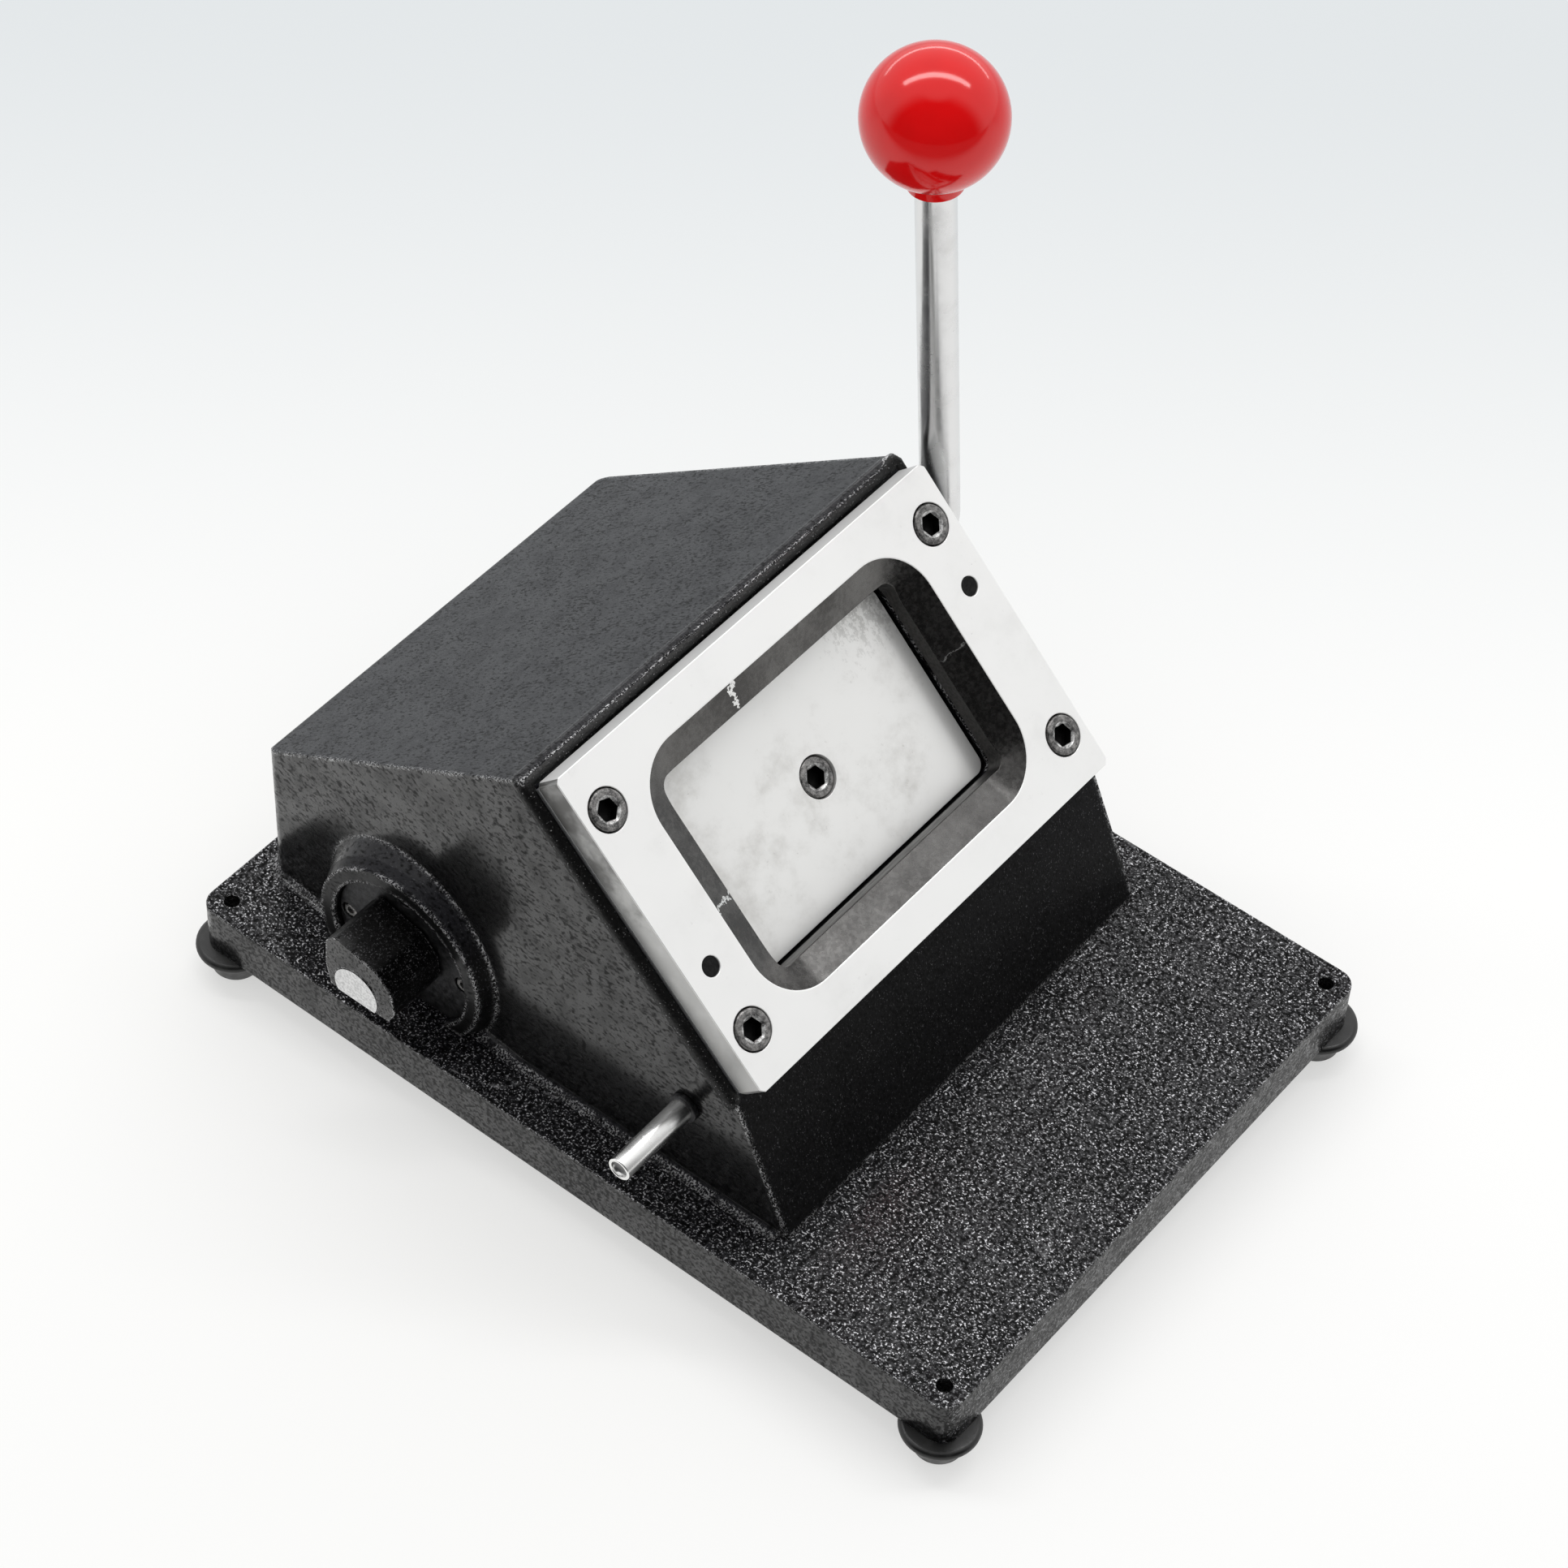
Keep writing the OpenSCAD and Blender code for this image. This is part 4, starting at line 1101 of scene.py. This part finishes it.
@dataclass
class LeaningPlate:
    """The die plate's own frame: across, up the slope and depth behind its front."""

    thickness: float = 8 * MM
    lean: float = math.radians(45)

    @cached_property
    def up(self) -> Vector:
        """Up the slope."""
        return Vector((0, math.cos(self.lean), math.sin(self.lean)))

    @cached_property
    def out(self) -> Vector:
        """Square out of the plate's front."""
        return Vector((0, -math.sin(self.lean), math.cos(self.lean)))

    @cached_property
    def middle(self) -> Vector:
        """The middle of the plate's front face."""
        return middle_of("die_plate") + self.out * (self.thickness / 2)

    def at(self, across: float, rise: float, depth: float) -> Vector:
        """A point given in the plate's frame, in metres."""
        return self.middle + Vector((across, 0, 0)) + self.up * rise - self.out * depth

    def depth_of(self, spot: Vector) -> float:
        """Depth of a point behind the plate's front."""
        return -(spot - self.middle).dot(self.out)

    def rise_of(self, spot: Vector) -> float:
        """Height of a point up the slope from the plate's middle."""
        return (spot - self.middle).dot(self.up)

    def four(self, across: float, rise: float, depth: float) -> list[Vector]:
        """The four corners of a pattern on the plate."""
        return [self.at(sx * across, sv * rise, depth) for sx in (-1, 1) for sv in (-1, 1)]


@dataclass
class SubAssembly:
    """What every group of pieces of the machine shares."""

    nodes: dict[str, bpy.types.Object]
    joints: list[dict[str, Any]]
    finishes: Finishes
    plate: LeaningPlate

    def keep(
        self, made: bpy.types.Object, body: Body, slot: str, *stands_for: str
    ) -> bpy.types.Object:
        """Ties a new piece to its body and to the nodes that it stands for.

        Args:
            made: The new piece.
            body: The body that it moves with.
            slot: Not used.
            stands_for: The nodes that it replaces.

        Returns:
            The same piece.
        """
        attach(made, body.value)
        if stands_for:
            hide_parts(*stands_for)
        LOG.info("%s: %d faces on %s", made.name, len(made.data.polygons), body.value)
        return made

    def rounded(
        self, node: str, finish: str, body: Body, slot: str, rounding: Rounding | None = None
    ) -> bpy.types.Object:
        """Replaces a node by its copy with rounded edges.

        Args:
            node: The node.
            finish: The finish of the copy.
            body: The body that it moves with.
            slot: The record's material slot.
            rounding: How its edges are rounded.

        Returns:
            The new piece.
        """
        mesh = (rounding or Rounding()).of(self.nodes[node])
        made = piece(node + "_dressed", mesh, self.finishes[finish])
        return self.keep(made, body, slot, node)

    def paint(self, finish: str, *names: str) -> None:
        """Gives nodes that keep their own mesh their finish.

        Args:
            finish: The finish.
            names: The nodes.
        """
        for name in names:
            data = self.nodes[name].data
            data.materials.clear()
            data.materials.append(self.finishes[finish])
            LOG.info("%s painted %s", name, finish)

    def cap_screws(self, node: str, body: Body, spots: Sequence[Vector]) -> None:
        """Replaces a node of socket screws that stand square to the die plate.

        Args:
            node: The node.
            body: The body that the screws move with.
            spots: The middles of their tops.
        """
        screw, out = CapScrew(), self.plate.out
        made = Pattern(spots, out).build(node + "_dressed", screw.mesh(), self.finishes["screw"])
        screw.dress(made, spots, out, self.finishes)
        self.keep(made, body, "black_oxide", node)

    def build(self) -> None:
        """Builds the group; each kind does its own."""
        raise NotImplementedError


@dataclass
class BasePlate(SubAssembly):
    """The coated base plate on four rubber feet."""

    foot_width: float = 20 * MM
    flange: float = 2.6 * MM
    foot_top: float = 16 * MM
    foot_tip: float = 13 * MM
    foot_hollow: float = 8 * MM

    def foot_mesh(self, high: float) -> bpy.types.Mesh:
        """One rubber foot, hollow for its screw, its sole at zero.

        Args:
            high: The foot's height.

        Returns:
            The closed mesh.
        """
        widths = (self.foot_width, self.foot_top, self.foot_tip, self.foot_hollow)
        wide, waist, tip, hole = (width / 2 for width in widths)
        lip = self.flange / 2
        under = high - self.flange
        rim = rounded_corner(wide - lip, high - lip, lip, 90, -90, 8)
        sole = rounded_corner(tip - 1.2 * MM, 1.2 * MM, 1.2 * MM, -8, -90, 5)
        return turned([
            (0, high), *rim, (waist + 0.5 * MM, under), (waist, under - 0.5 * MM), *sole,
            (hole + 0.3 * MM, 0), (hole, 0.3 * MM), (hole, high / 2), (0, high / 2),
        ])

    def build(self) -> None:
        """Builds the plate, its feet and their screws."""
        low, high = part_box("rubber_feet")
        reach = [high[i] - self.foot_width / 2 for i in range(2)]
        spots = [Vector((sx * reach[0], sy * reach[1], 0)) for sx in (-1, 1) for sy in (-1, 1)]
        up = Vector((0, 0, 1))
        self.rounded("base_plate", "base", Body.FRAME, "base_black", Rounding(0.7 * MM, 3))
        foot = self.foot_mesh(high[2] - low[2])
        pattern, rubber = Pattern(spots, up, turn=0.0), self.finishes["rubber"]
        feet = pattern.build("rubber_feet_dressed", foot, rubber)
        self.keep(feet, Body.FRAME, "black_rubber", "rubber_feet")
        self.paint("screw", "foot_screws", "housing_bolts")


@dataclass
class CastHousing(SubAssembly):
    """The painted casting with its raised rim, side peg and shaft bosses."""

    foot: float = 25.5 * MM
    bead_depth: float = 11.2 * MM
    bead_radius: float = 2.2 * MM
    bead_line: Sequence[tuple[float, float]] = (
        (-68.4, -44), (-68.4, 43.4), (-68.3, 44.5), (-67.6, 45.2), (-66.5, 45.3), (63, 45.3),
        (65.5, 45.6), (67.2, 46.2), (68.2, 46.2), (68.7, 45.2), (68.6, 42.5), (68.4, 39),
        (68.4, -44),
    )
    bead_end_steps: int = 6
    peg_width: float = 6.2 * MM
    peg_recess: float = 4.3 * MM

    def bead_mesh(self) -> bpy.types.Mesh:
        """Sweeps the thick bead along the rim's top and sides, swollen at one corner.

        Returns:
            The bead's mesh, its ends rounded.
        """
        r = self.bead_radius
        spots = [self.plate.at(x * MM, rise * MM, self.bead_depth) for x, rise in self.bead_line]
        ways = [(high - low).normalized() for low, high in zip(spots, spots[1:])]
        line = [(spots[0], ways[0], r)]
        for spot, before, after in zip(spots[1:], ways, ways[1:]):
            line.append((spot, (before + after).normalized(), r))
        line.append((spots[-1], ways[-1], r))
        for i in range(1, self.bead_end_steps + 1):
            turn = math.pi / 2 * i / self.bead_end_steps
            out, small = r * math.sin(turn), r * max(math.cos(turn), 0.03)
            line.insert(0, (spots[0] - ways[0] * out, ways[0], small))
            line.append((spots[-1] + ways[-1] * out, ways[-1], small))
        return swept(line, self.plate.out, 24)

    def peg(self) -> bpy.types.Object:
        """Turns the side peg, with a shallow recess in its end.

        Returns:
            The peg, in its place.
        """
        low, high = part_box("side_peg")
        r, hole, tip = self.peg_width / 2, self.peg_recess / 2, low[0]
        outline = [
            (0, -1.3 * MM), (hole - 0.3 * MM, -1.2 * MM), (hole, -0.9 * MM),
            (hole + 0.15 * MM, -0.15 * MM), (hole + 0.35 * MM, 0),
            *rounded_corner(r - 0.3 * MM, -0.3 * MM, 0.3 * MM, 90, 0, 3),
            (r, tip - high[0]), (0, tip - high[0]),
        ]
        mesh = turned(outline, 64)
        end = Vector((tip, *middle_of("side_peg")[1:]))
        mesh.transform(Matrix.Translation(end) @ Matrix.Rotation(-math.pi / 2, 4, "Y"))
        made = piece("side_peg_dressed", mesh, self.finishes["peg"], self.finishes["peg_end"])
        for face in mesh.polygons:
            off = Vector(face.center) - end
            inside = math.hypot(off.y, off.z) < hole + 0.05 * MM
            face.material_index = int(0.3 * MM < off.x and inside)
        return made

    def build(self) -> None:
        """Builds the casting and what is fixed in its walls."""
        rounding = Rounding(1.5 * MM, 4, 28, self.foot)
        self.rounded("housing", "casting", Body.FRAME, "cast_black", rounding)
        bead = piece("rim_bead", self.bead_mesh(), self.finishes["rim"])
        self.keep(bead, Body.FRAME, "cast_black")
        for cover in ("bearing_cover_left", "bearing_cover_right"):
            self.rounded(cover, "dark_turned", Body.FRAME, "dark_steel")
        self.keep(self.peg(), Body.FRAME, "polished_steel", "side_peg")
        self.rounded("side_peg_collar", "dark_turned", Body.FRAME, "black_oxide")
        self.paint("screw", "cover_screws")
        self.paint("bronze", "shaft_bush_left", "shaft_bush_right")


@dataclass
class DieStack(SubAssembly):
    """The die plate with its screws and dowels, and the guide plate behind it."""

    screw_x: float = 60 * MM
    screw_rise: float = 31 * MM
    screw_depth: float = -0.4 * MM
    window: tuple[float, float] = (85.6 * MM, 54 * MM)
    bevel_width: float = 7.5 * MM
    bevel_depth: float = 3.5 * MM
    front_margin: float = 0.12 * MM
    bevel_margin: float = 0.1 * MM
    edge_margin: float = 0.3 * MM

    def die_plate(self) -> bpy.types.Object:
        """Dresses the die plate: its front, the window's dark bevel and land, and its edges.

        Returns:
            The new piece.
        """
        mesh = Rounding(0.22 * MM, 2, 14).of(self.nodes["die_plate"])
        names = ("plate", "bevel", "land", "plate_side", "plate_left")
        made = piece("die_plate_dressed", mesh, *(self.finishes[name] for name in names))
        reach = [size / 2 + self.bevel_width for size in self.window]
        for face in mesh.polygons:
            spot = Vector(face.center)
            depth, rise = self.plate.depth_of(spot), self.plate.rise_of(spot)
            inside = abs(spot.x) < reach[0] and abs(rise) < reach[1]
            outer = abs(face.normal.dot(self.plate.out)) < 0.3 and not inside
            if inside and depth > self.front_margin:
                face.material_index = 1 if depth < self.bevel_depth + self.bevel_margin else 2
            elif outer and self.edge_margin < depth < self.plate.thickness - self.edge_margin:
                face.material_index = 4 if face.normal.x < -0.7 else 3
        return self.keep(made, Body.FRAME, "ground_steel", "die_plate")

    def build(self) -> None:
        """Builds the stack from the front back."""
        self.die_plate()
        self.rounded("spacer_strips", "milled", Body.FRAME, "plain_steel", Rounding(0.15 * MM, 1))
        spots = self.plate.four(self.screw_x, self.screw_rise, self.screw_depth)
        self.cap_screws("die_plate_screws", Body.FRAME, spots)
        self.rounded("dowel_pins", "dowel", Body.FRAME, "black_oxide", Rounding(0.3 * MM, 2))
        self.paint("milled", "guide_plate")
        self.paint("polished", "guide_pillars")
        self.paint("screw", "guide_plate_screws")


@dataclass
class PunchRam(SubAssembly):
    """The punch, its carrier and the ram that the crank drives."""

    screw_depth: float = 10.9 * MM

    def build(self) -> None:
        """Builds the moving group."""
        self.rounded("punch", "punch", Body.RAM, "ground_steel", Rounding(0.15 * MM, 2))
        self.cap_screws("punch_screw", Body.RAM, [self.plate.at(0, 0, self.screw_depth)])
        self.paint("milled", "punch_carrier", "ram")
        self.paint("bronze", "pillar_bushes")
        self.paint("polished", "punch_dowels")
        self.paint("screw", "ram_screws")


@dataclass
class CrankShaft(SubAssembly):
    """The two-part shaft with its pin and the flatted end block."""

    def build(self) -> None:
        """Builds the shaft and its ends."""
        small = Rounding(0.35 * MM, 2)
        left = self.rounded("shaft_left", "polished", Body.CRANK, "polished_steel", small)
        left.data.materials.append(self.finishes["shaft_end"])
        for face in left.data.polygons:
            face.material_index = int(face.normal.x < -0.9)
        self.rounded("shaft_right", "polished", Body.CRANK, "polished_steel", small)
        self.rounded("end_dog", "block", Body.CRANK, "dark_steel", Rounding(0.5 * MM, 3))
        self.paint("polished", "crank_pin", "end_dog_pin")


@dataclass
class HandLever(SubAssembly):
    """The bent lever rod, its hub and the ball knob."""

    rod_width: float = 10 * MM
    lower_arm: float = 74.8 * MM
    lower_angle: float = math.radians(36.6)
    upper_arm: float = 125 * MM
    upper_angle: float = math.radians(5.1)
    bend: float = 18 * MM
    rod_start: float = 8.9 * MM
    rod_in_ball: float = 2 * MM
    ball: float = 35 * MM
    neck: float = 7 * MM

    @property
    def low_way(self) -> Vector:
        """Direction of the lower arm, away from the shaft."""
        return Vector((0, -math.sin(self.lower_angle), math.cos(self.lower_angle)))

    @property
    def high_way(self) -> Vector:
        """Direction of the upper arm, toward the ball."""
        return Vector((0, math.sin(self.upper_angle), math.cos(self.upper_angle)))

    @cached_property
    def foot(self) -> Vector:
        """The point of the shaft's axis that the rod points at."""
        turn = next(joint for joint in self.joints if joint["child"] == Body.CRANK.value)
        return Vector((middle_of("ball_knob").x, *turn["pos_m"][1:]))

    @property
    def corner(self) -> Vector:
        """The point where the two arms' lines meet."""
        return self.foot + self.low_way * self.lower_arm

    def rod_mesh(self, bend_steps: int = 20) -> bpy.types.Mesh:
        """Sweeps the bent bar along its centre line.

        Args:
            bend_steps: Parts that the bend is cut into.

        Returns:
            The bar's mesh.
        """
        turn = self.lower_angle + self.upper_angle
        tangent = self.bend * math.tan(turn / 2)
        start = self.corner - self.low_way * (self.lower_arm - self.rod_start)
        end = self.corner + self.high_way * (self.upper_arm + self.rod_in_ball)
        before = self.corner - self.low_way * tangent
        inward = Vector((0, self.low_way.z, -self.low_way.y))
        centre = before + inward * self.bend
        line = [(start, self.low_way)]
        for i in range(bend_steps + 1):
            way = Matrix.Rotation(-turn * i / bend_steps, 3, "X") @ self.low_way
            side = Vector((0, way.z, -way.y))
            line.append((centre - side * self.bend, way))
        line.append((end, self.high_way))
        radius = self.rod_width / 2
        return swept([(spot, way, radius) for spot, way in line], Vector((1, 0, 0)))

    def knob_mesh(self) -> bpy.types.Mesh:
        """Turns the ball with its neck and bore.

        Returns:
            The knob's mesh, in place on the rod.
        """
        r, hole = self.ball / 2, self.rod_width / 2 + 0.05 * MM
        foot = -r - 1.6 * MM
        meet = -math.sqrt(r * r - (self.neck + 0.6 * MM) ** 2)
        low = math.degrees(math.asin(meet / r))
        outline = [
            (0.0, r),
            *rounded_corner(0, 0, r, 88, low, 64),
            (self.neck + 0.15 * MM, meet - 0.6 * MM),
            (self.neck, meet - 1.2 * MM),
            (self.neck, foot + 0.5 * MM),
            (self.neck - 0.15 * MM, foot + 0.15 * MM),
            (self.neck - 0.5 * MM, foot),
            (hole + 0.3 * MM, foot),
            (hole, foot + 0.3 * MM),
            (hole, self.rod_in_ball + 0.3 * MM),
            (0, self.rod_in_ball + 0.3 * MM),
        ]
        mesh = turned(outline, 96)
        spot = self.corner + self.high_way * self.upper_arm
        mesh.transform(Matrix.Translation(spot) @ Matrix.Rotation(-self.upper_angle, 4, "X"))
        return mesh

    def build(self) -> None:
        """Builds the lever from the hub up."""
        self.rounded("lever_hub", "dark_turned", Body.CRANK, "dark_steel", Rounding(0.6 * MM, 3))
        self.paint("screw", "hub_set_screw")
        rod = piece("lever_rod_dressed", self.rod_mesh(), self.finishes["rod"])
        self.keep(rod, Body.CRANK, "polished_steel", "lever_rod")
        knob = piece("ball_knob_dressed", self.knob_mesh(), self.finishes["red"])
        self.keep(knob, Body.CRANK, "red_plastic", "ball_knob")


@dataclass
class Studio:
    """The pale floor, the soft lights and the camera."""

    focal: float = 5552.05
    picture: float = 1932.0
    yaw: float = 0.93350070
    pitch: float = 0.84367253
    roll: float = 0.05262801
    distance: float = 1.0757408
    target_x: float = -0.82998599 * MM
    target_rise: float = 59.888752 * MM
    pale: Colour = (0.985, 0.985, 0.972)
    paler: Colour = (0.990, 0.990, 0.982)
    distant: Colour = (0.74, 0.77, 0.785)
    mirrored_near: Colour = (0.22, 0.22, 0.22)
    white: Colour = (1.0, 1.0, 1.0)

    @property
    def heading(self) -> Vector:
        """The level direction that the camera looks along."""
        return Vector((math.sin(self.yaw), math.cos(self.yaw), 0))

    @property
    def target(self) -> Vector:
        """The point at the middle of the picture."""
        return Vector((self.target_x, 0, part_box("base_plate")[1][2] + self.target_rise))

    def camera(self) -> None:
        """Puts the camera at the photograph's viewing angle."""
        ahead = self.heading * math.cos(self.pitch) - Vector((0, 0, math.sin(self.pitch)))
        right = Vector((self.heading.y, -self.heading.x, 0))
        top = right.cross(ahead)
        c, s = math.cos(self.roll), math.sin(self.roll)
        across, up = right * c + top * s, top * c - right * s
        data = bpy.data.cameras.new("camera")
        data.sensor_width = 36.0
        data.lens = self.focal / self.picture * data.sensor_width
        data.clip_start, data.clip_end = 0.01, 20.0
        made = bpy.data.objects.new("camera", data)
        turn = Matrix((across, up, -ahead)).transposed().to_4x4()
        made.matrix_world = Matrix.Translation(self.target - ahead * self.distance) @ turn
        bpy.context.scene.collection.objects.link(made)
        bpy.context.scene.camera = made

    def floor(self, far: float = 6.0) -> None:
        """Lays a wide pale floor that keeps the object's shadow and cools into the distance.

        Args:
            far: How far it reaches each way, in metres.
        """
        mesh = bpy.data.meshes.new("floor")
        corners = [(-far, -far, 0), (far, -far, 0), (far, far, 0), (-far, far, 0)]
        mesh.from_pydata(corners, [], [(0, 1, 2, 3)])
        net = ShaderNet("floor")
        away = net.dot(net.place, tuple(self.heading))
        near = net.blend(net.noise(0.5, 2.0).between(0.3, 0.7), self.pale, self.paler)
        colour = net.blend(away.between(0.02, 0.42), near, self.distant)
        mirrored = net.ray("Is Glossy Ray")
        # Painted reflection: glossy surfaces see the floor on the camera's side as dark grey.
        colour = net.blend(mirrored * away.between(-0.18, -0.6), colour, self.mirrored_near)
        matt = net.add("ShaderNodeBsdfDiffuse", {}, {"Color": colour})
        glow = net.add("ShaderNodeEmission", {}, {"Color": colour})
        seen = (mirrored + net.ray("Is Camera Ray")) * 0.55
        mixed = net.add("ShaderNodeMixShader", {}, {0: seen, 1: matt, 2: glow})
        net.end("ShaderNodeOutputMaterial", mixed)
        piece("floor", mesh, net.material)

    def world(self, light: float = 0.66, room: float = 0.03) -> None:
        """A white tent round the object, open to a darker room on the camera's side.

        Args:
            light: Strength with which the tent lights matt surfaces.
            room: Brightness of the opening in reflections.
        """
        surround = bpy.data.worlds.new("surround")
        bpy.context.scene.world = surround
        net = ShaderNet("surround", surround)
        toward = net.dot(net.place, tuple(-self.heading))
        opening = toward.between(0.12, 0.5) * net.along("Z").between(0.86, 0.97, 1.0, 0.0)
        tent = net.blend(opening, self.white, (room, room, room))
        seen = net.ray("Is Camera Ray") + net.ray("Is Glossy Ray")
        seen = seen + net.ray("Is Transmission Ray")
        lit = net.add("ShaderNodeBackground", {}, {"Color": self.white, "Strength": light})
        shown = net.add("ShaderNodeBackground", {}, {"Color": tent, "Strength": 1.0})
        mixed = net.add("ShaderNodeMixShader", {}, {0: seen, 1: lit, 2: shown})
        net.end("ShaderNodeOutputWorld", mixed)

    def lamp(self, name: str, spot: Vector, size: tuple[float, float], glow: float) -> None:
        """Adds a soft rectangular lamp that faces the object.

        Args:
            name: The lamp's name.
            spot: Its place in metres.
            size: Its width and height in metres.
            glow: Its brightness, where 1 is white.
        """
        data = bpy.data.lights.new(name, "AREA")
        data.shape = "RECTANGLE"
        data.size, data.size_y = size
        data.energy = glow * math.pi * size[0] * size[1]
        made = bpy.data.objects.new(name, data)
        way = Vector((0, 0, 0.08)) - spot
        side = Vector((self.heading.y, -self.heading.x, 0))
        up = side.cross(way.normalized())
        turn = Matrix((side, up, side.cross(up))).transposed().to_4x4()
        made.matrix_world = Matrix.Translation(spot) @ turn
        bpy.context.scene.collection.objects.link(made)

    def build(self) -> None:
        """Sets up the whole studio."""
        self.floor()
        self.world()
        for name, behind, rise, size, glow in (
            ("overhead", 0.36, 1.25, (2.0, 0.16), 8.5),
            ("behind", 1.5, 0.55, (3.0, 0.10), 4.0),
        ):
            self.lamp(name, self.heading * behind + Vector((0, 0, rise)), size, glow)
        self.camera()
        bpy.context.scene.view_settings.view_transform = "Standard"


def main() -> None:
    """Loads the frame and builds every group."""
    logging.basicConfig(level=logging.INFO, format="%(message)s")
    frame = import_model()
    shared = (frame["nodes"], frame["joints"], Finishes(), LeaningPlate())
    for kind in (BasePlate, CastHousing, DieStack, PunchRam, CrankShaft, HandLever):
        kind(*shared).build()
    Studio().build()


if __name__ == "__main__":
    main()
